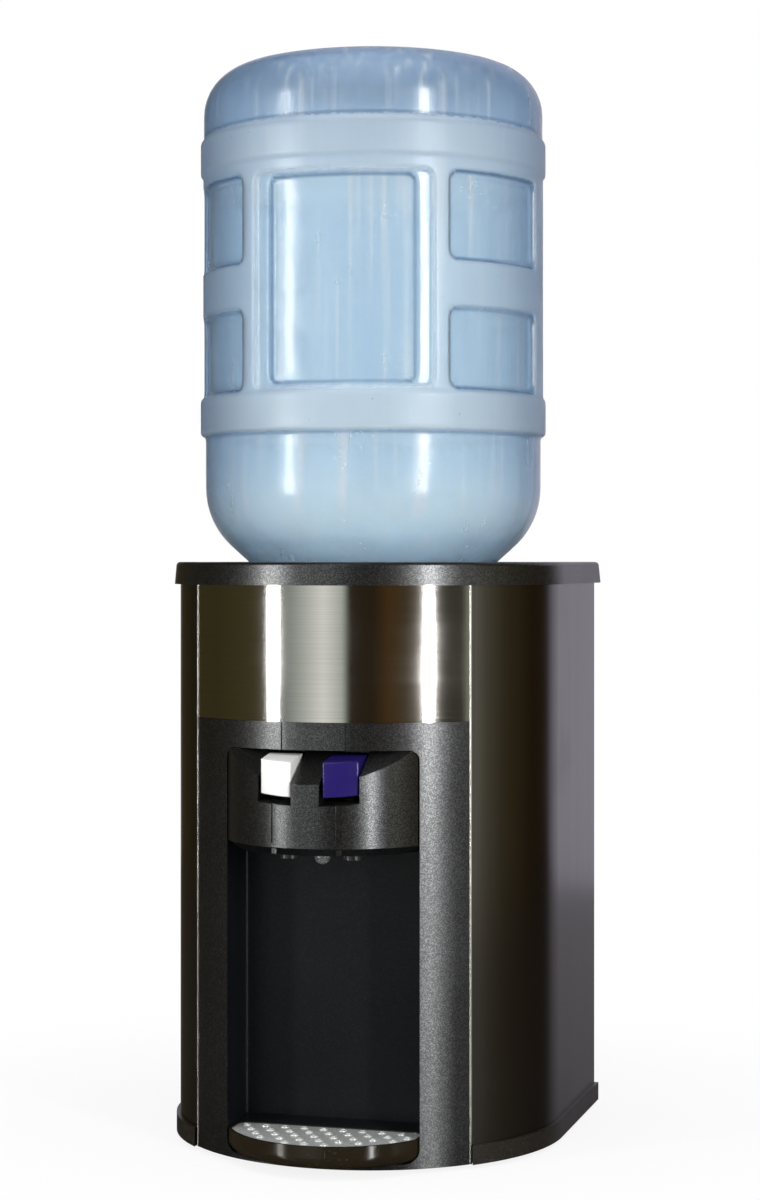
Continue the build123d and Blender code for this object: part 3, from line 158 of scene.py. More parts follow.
# %% Lay the floor
def pale_floor(half, white_near, white_from, white_to, mirrored):
    """A sheet, white to the eye, that keeps a soft shadow; to shiny surfaces it is a polished table."""
    mesh = bpy.data.meshes.new("studio_floor")
    corners = [(-half, -half, 0), (half, -half, 0), (half, half, 0), (-half, half, 0)]
    mesh.from_pydata(corners, [], [(0, 1, 2, 3)])
    floor = bpy.data.objects.new("studio_floor", mesh)
    bpy.context.scene.collection.objects.link(floor)
    paper = bpy.data.materials.new("floor_paper")
    nodes, links = new_tree(paper)
    tree = paper.node_tree
    output = nodes.new("ShaderNodeOutputMaterial")
    lit = nodes.new("ShaderNodeBsdfPrincipled")
    lit.inputs["Base Color"].default_value = (0.86, 0.86, 0.86, 1)
    lit.inputs["Roughness"].default_value = 0.9
    path = nodes.new("ShaderNodeLightPath")
    white = nodes.new("ShaderNodeEmission")
    polished = nodes.new("ShaderNodeBsdfPrincipled")
    polished.inputs["Base Color"].default_value = (*mirrored, 1)
    polished.inputs["Roughness"].default_value = 0.15
    polished.inputs["IOR"].default_value = 1.3
    away = ramp(tree, length_of(tree, object_place(tree)), white_from, white_to)
    share = math_node(tree, "MULTIPLY_ADD", away, 1 - white_near, white_near)
    direct = math_node(tree, "MAXIMUM", path.outputs["Is Camera Ray"], path.outputs["Is Transmission Ray"])
    paper_look = mix_shader(tree, math_node(tree, "MULTIPLY", share, direct), lit, white)
    whole_look = mix_shader(tree, path.outputs["Is Glossy Ray"], paper_look, polished)
    links.new(whole_look.outputs[0], output.inputs[0])
    mesh.materials.append(paper)
    return floor


floor = pale_floor(half=1.5, white_near=0.86, white_from=0.25, white_to=0.60, mirrored=(0.05, 0.043, 0.034))
print("floor side in m:", round(floor.dimensions.x, 2))

# %% [markdown]
# ## The studio
# The curved steel front is the best clue to the studio: it mirrors the room as upright bands. Two tall soft
# boxes make the two white bands, a pale screen stands in front to the left, the rest of the front is a dim
# brown room, and a pale backdrop stands behind. A wide light overhead isn't mirrored. The lamps do the
# lighting, with an even fill all round. The bands of the room are only what shiny surfaces see.

# %% Set up the soft boxes
aim_point = Vector((0, 0, 0.42))


def soft_box(name, turn, distance, height, size, power, colour, mirrored=True):
    """An area light aimed at the cabinet, its turn in degrees from the front towards the right."""
    data = bpy.data.lights.new(name, "AREA")
    data.shape = "RECTANGLE"
    data.size, data.size_y = size
    data.energy = power
    data.color = colour
    lamp = bpy.data.objects.new(name, data)
    lamp.location = (distance * sin(radians(turn)), -distance * cos(radians(turn)), height)
    aim = aim_point - lamp.location
    lamp.rotation_euler = aim.to_track_quat("-Z", "Y").to_euler()
    lamp.visible_glossy = mirrored
    bpy.context.scene.collection.objects.link(lamp)
    return lamp


soft_box("left_soft_box", -42, 2.5, 0.76, (0.28, 1.48), 28, (1.0, 0.98, 0.95))
soft_box("right_soft_box", 49, 2.4, 0.76, (0.15, 1.48), 36, (1.0, 0.99, 0.97))
soft_box("overhead_light", 0, 0.3, 2.6, (2.2, 1.8), 41, (1.0, 1.0, 1.0), mirrored=False)

# %% Paint the surroundings that shiny surfaces see
under_until = -0.30
room_from = -0.08
aside_until = 0.05
backdrop_from = 0.75
room_bands = [
    # degrees from the front towards the right, and the colour seen there
    (-180, (0.55, 0.52, 0.59)),
    (-154, (0.53, 0.50, 0.57)),
    (-146, (0.06, 0.045, 0.02)),
    (-90, (0.05, 0.040, 0.015)),
    (-50, (0.075, 0.06, 0.025)),
    (-36, (0.26, 0.29, 0.27)),
    (-26, (0.58, 0.62, 0.57)),
    (-12, (1.10, 1.10, 1.04)),
    (-1, (0.64, 0.69, 0.63)),
    (3, (0.035, 0.027, 0.016)),
    (17, (0.030, 0.020, 0.010)),
    (26, (0.080, 0.040, 0.010)),
    (36, (0.070, 0.046, 0.018)),
    (46, (0.11, 0.09, 0.06)),
    (58, (0.050, 0.042, 0.028)),
    (72, (0.060, 0.056, 0.042)),
    (78, (1.00, 1.04, 0.82)),
    (84, (0.40, 0.38, 0.25)),
    (101, (0.18, 0.14, 0.06)),
    (126, (0.07, 0.04, 0.012)),
    (146, (0.05, 0.030, 0.012)),
    (154, (0.47, 0.44, 0.51)),
    (180, (0.55, 0.52, 0.59)),
]


def studio_world(bands, under, fill, aside):
    """White behind, to the eye and through clear plastic; shiny surfaces see the room's bands."""
    world = bpy.data.worlds.new("studio_room")
    bpy.context.scene.world = world
    nodes, links = new_tree(world)
    tree = world.node_tree
    output = nodes.new("ShaderNodeOutputWorld")
    path = nodes.new("ShaderNodeLightPath")
    split = nodes.new("ShaderNodeSeparateXYZ")
    links.new(nodes.new("ShaderNodeTexCoord").outputs["Generated"], split.inputs[0])
    forward = math_node(tree, "MULTIPLY", split.outputs["Y"], -1.0)
    turn = math_node(tree, "ARCTAN2", split.outputs["X"], forward)
    around = math_node(tree, "MULTIPLY_ADD", turn, 0.5 / pi, 0.5)
    room = nodes.new("ShaderNodeValToRGB")
    stops = room.color_ramp.elements
    stops[0].color = (*bands[0][1], 1)
    stops[1].color = (*bands[-1][1], 1)
    for degrees_right, colour in bands[1:-1]:
        stops.new((degrees_right + 180) / 360).color = (*colour, 1)
    links.new(around, room.inputs[0])
    above = ramp(tree, split.outputs["Z"], under_until, room_from)
    mirrored = nodes.new("ShaderNodeBackground")
    links.new(blend_colour(tree, above, (*under, 1), room.outputs[0]), mirrored.inputs["Color"])
    soft = nodes.new("ShaderNodeBackground")
    soft.inputs["Color"].default_value = (*fill, 1)
    white = nodes.new("ShaderNodeBackground")
    behind = ramp(tree, split.outputs["Y"], aside_until, backdrop_from)
    paper = blend_colour(tree, behind, (*aside, 1), (1, 1, 1, 1))
    clear = math_node(tree, "SUBTRACT", 1.0, path.outputs["Is Transmission Ray"])
    links.new(blend_colour(tree, clear, paper, (1, 1, 1, 1)), white.inputs["Color"])
    surroundings = mix_shader(tree, path.outputs["Is Glossy Ray"], soft, mirrored)
    direct = math_node(tree, "MAXIMUM", path.outputs["Is Camera Ray"], path.outputs["Is Transmission Ray"])
    links.new(mix_shader(tree, direct, surroundings, white).outputs[0], output.inputs[0])
    return world


studio_world(room_bands, under=(0.06, 0.045, 0.02), fill=(0.40, 0.40, 0.41), aside=(0.27, 0.34, 0.43))
print("bands in the room:", len(room_bands))

# %% [markdown]
# ## Shared surface effects
# Several finishes need the same small effects, so each effect is a node group with named inputs.
# Moulded grain is the fine skin of the plastic, with metal flecks in it. Brushed lines run along a sheet.
# Handling marks are soft patches where hands and cloths have changed the gloss, with a few short scratches.

# %% Helpers for node groups
FLOAT = "NodeSocketFloat"
COLOUR = "NodeSocketColor"
VECTOR = "NodeSocketVector"


def start_group(name, sockets_in, sockets_out, kind="ShaderNodeTree"):
    """A new node group with named inputs and outputs; inputs are (name, type, value)."""
    group = bpy.data.node_groups.new(name, kind)
    for label, socket_type, value in sockets_in:
        socket = group.interface.new_socket(label, in_out="INPUT", socket_type=socket_type)
        if value is not None:
            socket.default_value = value
    for label, socket_type in sockets_out:
        group.interface.new_socket(label, in_out="OUTPUT", socket_type=socket_type)
    return group, group.nodes.new("NodeGroupInput").outputs, group.nodes.new("NodeGroupOutput").inputs


def vector_node(tree, operation, first, second):
    """A vector math node on a socket and a socket or value; returns its output socket."""
    node = tree.nodes.new("ShaderNodeVectorMath")
    node.operation = operation
    tree.links.new(first, node.inputs[0])
    target = node.inputs["Scale"] if operation == "SCALE" else node.inputs[1]
    if isinstance(second, bpy.types.NodeSocket):
        tree.links.new(second, target)
    else:
        target.default_value = second
    return node.outputs[0]


def noise_at(tree, vector, scale, detail=2.0):
    """A noise texture on a vector socket; the scale may be a socket or a number."""
    node = tree.nodes.new("ShaderNodeTexNoise")
    node.inputs["Detail"].default_value = detail
    tree.links.new(vector, node.inputs["Vector"])
    if isinstance(scale, (int, float)):
        node.inputs["Scale"].default_value = scale
    else:
        tree.links.new(scale, node.inputs["Scale"])
    return node.outputs[0]


# %% Moulded grain with metal flecks
def make_moulded_grain():
    """Fine moulded skin: flecked colour, uneven gloss and a grain height."""
    group, given, result = start_group(
        "moulded_grain",
        [("Colour", COLOUR, (0.03, 0.03, 0.03, 1)), ("Fleck Colour", COLOUR, (0.3, 0.3, 0.3, 1)),
         ("Grain per Metre", FLOAT, 1200.0), ("Fleck Share", FLOAT, 0.2), ("Gloss", FLOAT, 0.4)],
        [("Colour", COLOUR), ("Roughness", FLOAT), ("Height", FLOAT)])
    place = object_place(group)
    grain = noise_at(group, place, given["Grain per Metre"], 3.0)
    cells = group.nodes.new("ShaderNodeTexVoronoi")
    group.links.new(place, cells.inputs["Vector"])
    group.links.new(given["Grain per Metre"], cells.inputs["Scale"])
    chance = group.nodes.new("ShaderNodeSeparateColor")
    group.links.new(cells.outputs["Color"], chance.inputs[0])
    above = math_node(group, "SUBTRACT", 1.0, given["Fleck Share"])
    fleck = math_node(group, "GREATER_THAN", chance.outputs[0], above)
    patches = noise_at(group, place, 14.0, 3.0)
    shade = math_node(group, "MULTIPLY_ADD", patches, 0.5, 0.75)
    shaded = vector_node(group, "SCALE", given["Colour"], shade)
    group.links.new(blend_colour(group, fleck, shaded, given["Fleck Colour"]), result["Colour"])
    uneven = math_node(group, "MULTIPLY_ADD", patches, 0.08, -0.04)
    group.links.new(math_node(group, "ADD", given["Gloss"], uneven), result["Roughness"])
    tilt = math_node(group, "MULTIPLY", chance.outputs[1], 0.7)
    group.links.new(math_node(group, "ADD", tilt, grain), result["Height"])
    return group


moulded_grain = make_moulded_grain()

# %% Brushed lines
def make_brushed_lines():
    """Long thin lines along a sheet: line tint, line gloss and line height."""
    group, given, result = start_group(
        "brushed_lines",
        [("Colour", COLOUR, (0.5, 0.5, 0.5, 1)), ("Line Colour", COLOUR, (0.4, 0.4, 0.4, 1)),
         ("Lines per Metre", VECTOR, (10.0, 10.0, 4000.0)), ("Gloss", FLOAT, 0.3)],
        [("Colour", COLOUR), ("Roughness", FLOAT), ("Height", FLOAT)])
    place = object_place(group)
    stretched = vector_node(group, "MULTIPLY", place, given["Lines per Metre"])
    fine = noise_at(group, stretched, 1.0, 2.0)
    wide = noise_at(group, stretched, 0.23, 2.0)
    both = math_node(group, "MULTIPLY_ADD", wide, 0.4, math_node(group, "MULTIPLY", fine, 0.6))
    mask = ramp(group, both, 0.30, 0.70)
    group.links.new(blend_colour(group, mask, given["Colour"], given["Line Colour"]), result["Colour"])
    smears = ramp(group, noise_at(group, place, 9.0, 3.0), 0.45, 0.75)
    spread = math_node(group, "MULTIPLY_ADD", mask, 0.06, math_node(group, "MULTIPLY", smears, 0.05))
    group.links.new(math_node(group, "ADD", given["Gloss"], spread), result["Roughness"])
    group.links.new(both, result["Height"])
    return group


brushed_lines = make_brushed_lines()

# %% Handling marks and scuffs
def make_handling_marks():
    """Soft patches of changed gloss, and a few fine short scratches."""
    group, given, result = start_group(
        "handling_marks",
        [("Gloss", FLOAT, 0.2), ("Patch Size", FLOAT, 30.0), ("Scratches", FLOAT, 0.3)],
        [("Roughness", FLOAT), ("Scratch Mask", FLOAT), ("Height", FLOAT)])
    place = object_place(group)
    patches = ramp(group, noise_at(group, place, given["Patch Size"], 4.0), 0.42, 0.70)
    masks = []
    for turn, stretch in ((0.5, (40, 700, 700)), (-0.8, (700, 700, 60)), (1.2, (700, 50, 600))):
        mapping = group.nodes.new("ShaderNodeMapping")
        mapping.inputs["Rotation"].default_value = (turn, turn * 0.6, -turn)
        mapping.inputs["Scale"].default_value = stretch
        group.links.new(place, mapping.inputs["Vector"])
        masks.append(ramp(group, noise_at(group, mapping.outputs[0], 1.0, 1.0), 0.70, 0.76))
    lines = math_node(group, "MAXIMUM", math_node(group, "MAXIMUM", masks[0], masks[1]), masks[2])
    here = ramp(group, noise_at(group, place, 22.0, 2.0), 0.50, 0.62)
    scratch = math_node(group, "MULTIPLY", math_node(group, "MULTIPLY", lines, here), given["Scratches"])
    rough = math_node(group, "MULTIPLY_ADD", patches, 0.08, given["Gloss"])
    group.links.new(math_node(group, "MULTIPLY_ADD", scratch, 0.25, rough), result["Roughness"])
    group.links.new(scratch, result["Scratch Mask"])
    group.links.new(math_node(group, "MULTIPLY", scratch, -1.0), result["Height"])
    return group


handling_marks = make_handling_marks()
print("effects:", [group.name for group in bpy.data.node_groups])

# %% [markdown]
# ## Finishes
# Each finish is a Principled shader whose colour, gloss and relief come from the shared effects.
# Values that are the same all over, such as the metal of a sheet or a clear coat, are set on the shader's own
# sockets, so that they survive in other programs.

# %% Helpers for finishes
finishes = {}


class Finish:
    """One material with its Principled shader, and short ways to feed it."""

    def __init__(self, slot, **sockets):
        self.material = bpy.data.materials.new(slot)
        self.nodes, self.links = new_tree(self.material)
        self.tree = self.material.node_tree
        output = self.nodes.new("ShaderNodeOutputMaterial")
        self.shader = self.nodes.new("ShaderNodeBsdfPrincipled")
        self.links.new(self.shader.outputs[0], output.inputs[0])
        for name, value in sockets.items():
            self.shader.inputs[name.replace("_", " ")].default_value = value
        finishes[slot] = self.material

    def effect(self, group, **values):
        """Places a shared effect with its own values."""
        node = self.nodes.new("ShaderNodeGroup")
        node.node_tree = group
        for name, value in values.items():
            node.inputs[name.replace("_", " ")].default_value = value
        return node.outputs

    def feed(self, socket, value):
        """Links an effect's output to the shader."""
        self.links.new(value, self.shader.inputs[socket])

    def relief(self, height, depth):
        """Raises the surface a little by a height from 0 to 1."""
        bump = self.nodes.new("ShaderNodeBump")
        bump.inputs["Distance"].default_value = depth
        self.links.new(height, bump.inputs["Height"])
        self.feed("Normal", bump.outputs[0])


def moulded(slot, colour, fleck, grain, share, gloss, depth, **sockets):
    """A moulded plastic or rubber with grain and flecks."""
    finish = Finish(slot, **sockets)
    skin = finish.effect(moulded_grain, Colour=(*colour, 1), Fleck_Colour=(*fleck, 1), Grain_per_Metre=grain,
                         Fleck_Share=share, Gloss=gloss)
    finish.feed("Base Color", skin["Colour"])
    finish.feed("Roughness", skin["Roughness"])
    finish.relief(skin["Height"], depth)


def brushed(slot, colour, line, lines, gloss, depth, **sockets):
    """A sheet metal with lines brushed or rolled along it."""
    finish = Finish(slot, Metallic=1.0, **sockets)
    sheet = finish.effect(brushed_lines, Colour=(*colour, 1), Line_Colour=(*line, 1), Lines_per_Metre=lines,
                          Gloss=gloss)
    finish.feed("Base Color", sheet["Colour"])
    finish.feed("Roughness", sheet["Roughness"])
    finish.relief(sheet["Height"], depth)


def handled(slot, colour, gloss, patch, scratches, depth, scratch_colour, **sockets):
    """A smooth gloss finish with patches from handling and a few scratches."""
    finish = Finish(slot, **sockets)
    marks = finish.effect(handling_marks, Gloss=gloss, Patch_Size=patch, Scratches=scratches)
    tinted = blend_colour(finish.tree, marks["Scratch Mask"], (*colour, 1), (*scratch_colour, 1))
    finish.feed("Base Color", tinted)
    finish.feed("Roughness", marks["Roughness"])
    finish.relief(marks["Height"], depth)


# %% [markdown]
# ### Cabinet
# The dark plastic of cover, fascia and hood is full of fine metal flecks. It looks almost black, but lights
# up in a soft band where it mirrors a lamp. The steel front is brushed level. The dark side sheets have faint
# upright lines. The lining of the cup space is a smooth dull black, so that only a faint sheen shows inside.

# %% Cabinet plastics and sheet metals
level_lines = (7.0, 7.0, 5200.0)
upright_lines = (3800.0, 3800.0, 6.0)
# moulded: colour, fleck colour, grain per metre, share of flecks, gloss, depth of the grain in metres
moulded("charcoal_plastic", (0.050, 0.052, 0.054), (0.114, 0.117, 0.121), 2000.0, 0.30, 0.29, 0.000003,
        Metallic=0.92)
moulded("base_plastic", (0.012, 0.010, 0.008), (0.05, 0.046, 0.04), 1700.0, 0.10, 0.34, 0.00003)
moulded("liner_plastic", (0.005, 0.0062, 0.0080), (0.012, 0.014, 0.018), 2000.0, 0.10, 0.30, 0.00001,
        Specular_IOR_Level=0.15)
moulded("black_rubber", (0.02, 0.02, 0.02), (0.04, 0.04, 0.04), 900.0, 0.15, 0.75, 0.0001)
# brushed: colour, colour of the lines, lines per metre along each axis, gloss, depth of the lines in metres
brushed("brushed_stainless", (0.57, 0.56, 0.54), (0.49, 0.48, 0.46), level_lines, 0.05, 0.000006)
brushed("dark_sheet", (0.145, 0.138, 0.145), (0.115, 0.108, 0.112), upright_lines, 0.17, 0.000004)
brushed("bright_strip", (0.80, 0.80, 0.79), (0.68, 0.68, 0.67), upright_lines, 0.22, 0.000005)
brushed("galvanised_sheet", (0.50, 0.51, 0.53), (0.36, 0.37, 0.39), (90.0, 90.0, 90.0), 0.42, 0.00003)
brushed("screw_steel", (0.55, 0.55, 0.55), (0.40, 0.40, 0.40), (900.0, 900.0, 900.0), 0.30, 0.00001)
print("cabinet finishes:", len(finishes))

# %% [markdown]
# ### Bottle
# The bottle is pale blue clear plastic. Its proud bands and ribs rub against racks and hands, so they are
# frosted and finely scratched round the bottle, while the pressed panels keep their gloss. The distance from
# the axis tells the two apart, because only what is rubbed reaches the full radius. The wall is thick at the
# crown, which deepens its tint. Painted light pales the shoulder and turns its low part bluer, against the
# shade of the dark cover seen through it. Each step in the wall has a painted shade line and a painted
# highlight line, walls seen at a slant get painted shade, and soft upright streaks are painted highlight.
# A part of the light is scattered inside the plastic, which gives the milky look.

# %% Heights that the bottle's finish and its shape share
bottle_low, bottle_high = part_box("water_bottle")
bottle_radius = bottle_high[0]
bottle_top = bottle_high[2]
upper_band_top = bottle_top - 0.0595
lower_band_top = bottle_top - 0.2600
lower_band_bottom = lower_band_top - 0.0260
band_bevel = 0.0025
crown_start = upper_band_top + band_bevel

# %% Where the bottle is rubbed or thick, where painted light pales its shoulder, and where painted step lines lie
# Heights below the top: how far the deeper tint reaches, and where painted light pales the shoulder and turns
# its low part bluer
thick_reach = 0.10
shoulder_light_from = 0.29
shoulder_light_full = 0.40
low_light_from = 0.325
low_light_full = 0.385
rubbed_depth = 0.0028
rubbed_fade = 0.0014
crown_fade = 0.004
# Painted shade lines lie in the grooves above the crown's step and below the lower band, painted highlight
# lines on the ridges beside them
groove_offset = 0.0030
groove_reach = 0.0022
ridge_offset = 0.0008
ridge_reach = 0.0016


def rubbed_mask(tree, place, height):
    """1 on the bands and ribs, 0 on pressed panels, crown and shoulder."""
    radius = length_of(tree, vector_node(tree, "MULTIPLY", place, (1, 1, 0)))
    limit = bottle_radius - rubbed_depth
    full_width = ramp(tree, radius, limit - rubbed_fade, limit + rubbed_fade)
    below_crown = ramp(tree, height, crown_start + crown_fade, crown_start)
    return math_node(tree, "MULTIPLY", full_width, below_crown)


def tint_and_light_masks(tree, height):
    """Where the wall is thick near the crown, and where painted light pales the shoulder and turns its low
    part bluer.
    """
    thick_wall = ramp(tree, height, bottle_top - thick_reach, bottle_top)
    shoulder_light_mask = ramp(tree, height, bottle_top - shoulder_light_from, bottle_top - shoulder_light_full)
    low_light_mask = ramp(tree, height, bottle_top - low_light_from, bottle_top - low_light_full)
    return thick_wall, shoulder_light_mask, low_light_mask


def near_height(tree, height, level, reach):
    """1 at a level of the bottle, falling to 0 at the reach above and below it."""
    offset = math_node(tree, "ABSOLUTE", math_node(tree, "SUBTRACT", height, level))
    return ramp(tree, offset, reach, 0.0)


def own_attribute(tree, name):
    """A value that the bottle's mesh carries at each point."""
    node = tree.nodes.new("ShaderNodeAttribute")
    node.attribute_name = name
    return node.outputs["Fac"]


def step_masks(tree, height):
    """Masks of painted shade lines on sloping walls and grooves, and of painted highlight lines on lips and
    ridges.
    """
    crown_groove = near_height(tree, height, crown_start + groove_offset, groove_reach)
    shoulder_groove = near_height(tree, height, lower_band_bottom - groove_offset, groove_reach)
    grooves = math_node(tree, "MAXIMUM", crown_groove, shoulder_groove)
    faint_grooves = math_node(tree, "MULTIPLY", grooves, 0.6)
    step_shade_lines = math_node(tree, "MAXIMUM", own_attribute(tree, "step_wall"), faint_grooves)
    crown_ridge = near_height(tree, height, crown_start - ridge_offset, ridge_reach)
    shoulder_ridge = near_height(tree, height, lower_band_bottom + ridge_offset, ridge_reach)
    ridges = math_node(tree, "MAXIMUM", crown_ridge, shoulder_ridge)
    step_highlight_lines = math_node(tree, "MAXIMUM", own_attribute(tree, "step_lip"), ridges)
    return step_shade_lines, step_highlight_lines


# %% Bottle plastic
def stretched_noise(tree, place, stretch, scale=1.0):
    """Noise drawn out along the axes with small numbers in stretch."""
    return noise_at(tree, vector_node(tree, "MULTIPLY", place, stretch), scale, 2.0)


def bottle_finish(clear, thin, low, thick, frosted, scratch, edge, lip_highlight, dirt):
    """Clear blue plastic, deeper where the wall is thick, frosted and scratched where it is proud, with
    painted light: a paler shoulder, a bluer low shoulder, shade and highlight lines at the steps, shade on
    slanting walls and highlight streaks.
    """
    finish = Finish("bottle_plastic", Transmission_Weight=0.82, IOR=1.42)
    tree = finish.tree
    marks = finish.effect(handling_marks, Gloss=0.12, Patch_Size=26.0, Scratches=0.15)
    place = object_place(tree)
    split = tree.nodes.new("ShaderNodeSeparateXYZ")
    tree.links.new(place, split.inputs[0])
    height = split.outputs["Z"]
    proud = rubbed_mask(tree, place, height)
    worn = noise_at(tree, place, 45.0, 4.0)
    frost = math_node(tree, "MULTIPLY", proud, math_node(tree, "MULTIPLY_ADD", worn, 0.5, 0.6))
    ring_lines = stretched_noise(tree, place, (14.0, 14.0, 1500.0))
    rings = math_node(tree, "MULTIPLY", ramp(tree, ring_lines, 0.55, 0.75), proud)
    streaks_and_sheen = stretched_noise(tree, place, (150.0, 150.0, 5.0))

    thick_wall, shoulder_light_mask, low_light_mask = tint_and_light_masks(tree, height)
    # Painted light: the shoulder is paled and its low part turned bluer, against the shade of the dark cover
    # seen through it.
    plain = blend_colour(tree, shoulder_light_mask, (*clear, 1), (*thin, 1))
    tinted = blend_colour(tree, low_light_mask, plain, (*low, 1))
    walled = blend_colour(tree, thick_wall, tinted, (*thick, 1))
    # Painted highlight: soft upright streaks pale the colour towards the scratch colour.
    sheen_streaked = blend_colour(tree, ramp(tree, streaks_and_sheen, 0.50, 0.75), walled, (*scratch, 1))
    body = blend_colour(tree, frost, sheen_streaked, (*frosted, 1))
    scratched = math_node(tree, "MAXIMUM", marks["Scratch Mask"], math_node(tree, "MULTIPLY", rings, 0.3))
    lined = blend_colour(tree, scratched, body, (*scratch, 1))

    # Painted shade lines on sloping walls and grooves, painted highlight lines on lips and ridges.
    step_shade_lines, step_highlight_lines = step_masks(tree, height)
    step_shaded = blend_colour(tree, math_node(tree, "MULTIPLY", step_shade_lines, 0.75), lined, (*edge, 1))
    step_highlighted = blend_colour(tree, math_node(tree, "MULTIPLY", step_highlight_lines, 0.7), step_shaded, (*lip_highlight, 1))
    specks = ramp(tree, noise_at(tree, place, 420.0, 1.0), 0.775, 0.80)
    dirty_areas = ramp(tree, noise_at(tree, place, 30.0, 2.0), 0.50, 0.60)
    spots = math_node(tree, "MULTIPLY", math_node(tree, "MULTIPLY", specks, dirty_areas), 0.6)
    marked = blend_colour(tree, spots, step_highlighted, (*dirt, 1))
    # Painted shade: walls seen at a slant turn towards the deep edge colour, less so low on the shoulder.
    slant = tree.nodes.new("ShaderNodeLayerWeight")
    slant_shade_share = math_node(tree, "MULTIPLY_ADD", low_light_mask, -0.36, 0.66)
    slant_shade = math_node(tree, "MULTIPLY", ramp(tree, slant.outputs["Facing"], 0.10, 0.85), slant_shade_share)
    finish.feed("Base Color", blend_colour(tree, slant_shade, marked, (*edge, 1)))

    satin = math_node(tree, "MULTIPLY_ADD", frost, 0.20, marks["Roughness"])
    lined_satin = math_node(tree, "MULTIPLY_ADD", rings, 0.06, satin)
    finish.feed("Roughness", math_node(tree, "MULTIPLY_ADD", streaks_and_sheen, 0.12, lined_satin))
    ripple = stretched_noise(tree, place, (1.0, 1.0, 0.45), 18.0)
    rippled = math_node(tree, "MULTIPLY_ADD", ripple, 5.0, marks["Height"])
    finish.relief(math_node(tree, "MULTIPLY_ADD", streaks_and_sheen, 0.25, rippled), 0.0003)


# The edge colour is painted shade and the lip colour painted highlight; thin and low are painted light on the
# shoulder, and scratch also tints the painted highlight streaks.
bottle_finish(clear=(0.66, 0.82, 0.94), thin=(0.92, 1.0, 1.0), low=(0.74, 0.90, 1.0),
              thick=(0.49, 0.63, 0.79), frosted=(0.80, 0.88, 0.93), scratch=(0.86, 0.92, 0.96),
              edge=(0.09, 0.21, 0.40), lip_highlight=(0.93, 0.97, 1.0), dirt=(0.10, 0.13, 0.17))
print("nodes in the bottle's finish:", len(finishes["bottle_plastic"].node_tree.nodes))

# %% [markdown]
# ### Taps and tray
# The levers are gloss plastic with a clear skin. The tray is gloss black with a brown cast. The grid is a
# plated plastic plate, paler and duller than solid steel, so it keeps some of its own colour.

# %% Cap, taps, tray and hidden parts
# handled: colour, gloss, patches per metre, strength of scratches, their depth in metres, their colour
handled("cap_plastic", (0.62, 0.70, 0.80), 0.35, 40.0, 0.4, 0.00003, (0.7, 0.75, 0.8))
handled("lever_white", (0.86, 0.86, 0.84), 0.14, 60.0, 0.3, 0.00002, (0.7, 0.7, 0.68), Coat_Weight=0.3)
handled("lever_blue", (0.016, 0.010, 0.105), 0.12, 60.0, 0.4, 0.00002, (0.06, 0.05, 0.20), Coat_Weight=0.3)
handled("tray_plastic", (0.014, 0.010, 0.005), 0.14, 40.0, 0.6, 0.00002, (0.05, 0.05, 0.05), Coat_Weight=0.3)
handled("lamp_clear", (0.93, 0.95, 0.96), 0.03, 80.0, 0.2, 0.00001, (0.9, 0.9, 0.9),
        Transmission_Weight=0.9, IOR=1.49, Coat_Weight=0.5)
handled("grid_silver", (0.70, 0.73, 0.72), 0.24, 50.0, 0.5, 0.00002, (0.55, 0.57, 0.56), Metallic=0.45)
moulded("well_plastic", (0.030, 0.030, 0.032), (0.07, 0.07, 0.07), 1500.0, 0.10, 0.40, 0.00005)
moulded("tap_plastic", (0.018, 0.018, 0.019), (0.04, 0.04, 0.04), 1800.0, 0.10, 0.28, 0.00003)
moulded("bracket_plastic", (0.025, 0.025, 0.025), (0.05, 0.05, 0.05), 1500.0, 0.10, 0.5, 0.00006)
moulded("silicone", (0.60, 0.60, 0.58), (0.66, 0.66, 0.64), 900.0, 0.2, 0.5, 0.00004)
moulded("foam", (0.78, 0.70, 0.50), (0.86, 0.79, 0.60), 420.0, 0.4, 0.9, 0.0006)
moulded("compressor_black", (0.014, 0.014, 0.014), (0.03, 0.03, 0.03), 1100.0, 0.12, 0.28, 0.00008)
moulded("condenser_black", (0.012, 0.012, 0.012), (0.03, 0.03, 0.03), 1300.0, 0.12, 0.32, 0.00006)
brushed("tank_steel", (0.60, 0.60, 0.59), (0.52, 0.52, 0.51), level_lines, 0.25, 0.00001)
brushed("copper", (0.72, 0.34, 0.20), (0.52, 0.24, 0.15), (160.0, 160.0, 160.0), 0.28, 0.00002)
print("finishes:", len(finishes))

# %% Give each piece of the model its finish
slot_of = {row["node"]: row["material_slot"] for row in frame["record"]["subparts"]}
for node, piece in frame["nodes"].items():
    piece.data.materials.clear()
    piece.data.materials.append(finishes[slot_of[node]])
print("pieces with a finish:", len(slot_of))

# %% [markdown]
# ## The blown bottle
# A bottle like this is blown into a mould: a turned outline with panels pressed into its wall. It could be
# modelled by hand, but its shape follows a rule, so a geometry tree makes it. The outline is a short list of
# corners, each with its own rounding. A grid is wrapped round it, and each pressed panel pulls the wall
# inwards by a rounded-rectangle mask with sloping sides. The wall gets its thickness afterwards.

# %% Helpers for geometry trees
GEOMETRY = "NodeSocketGeometry"
WHOLE = "NodeSocketInt"
MATERIAL = "NodeSocketMaterial"


def add_node(tree, kind, inputs=None, **properties):
    """Adds a node, sets its properties, then its inputs, each a socket or a value."""
    node = tree.nodes.new(kind)
    for name, value in properties.items():
        setattr(node, name, value)
    for name, value in (inputs or {}).items():
        if isinstance(value, bpy.types.NodeSocket):
            tree.links.new(value, node.inputs[name])
        else:
            node.inputs[name].default_value = value
    return node


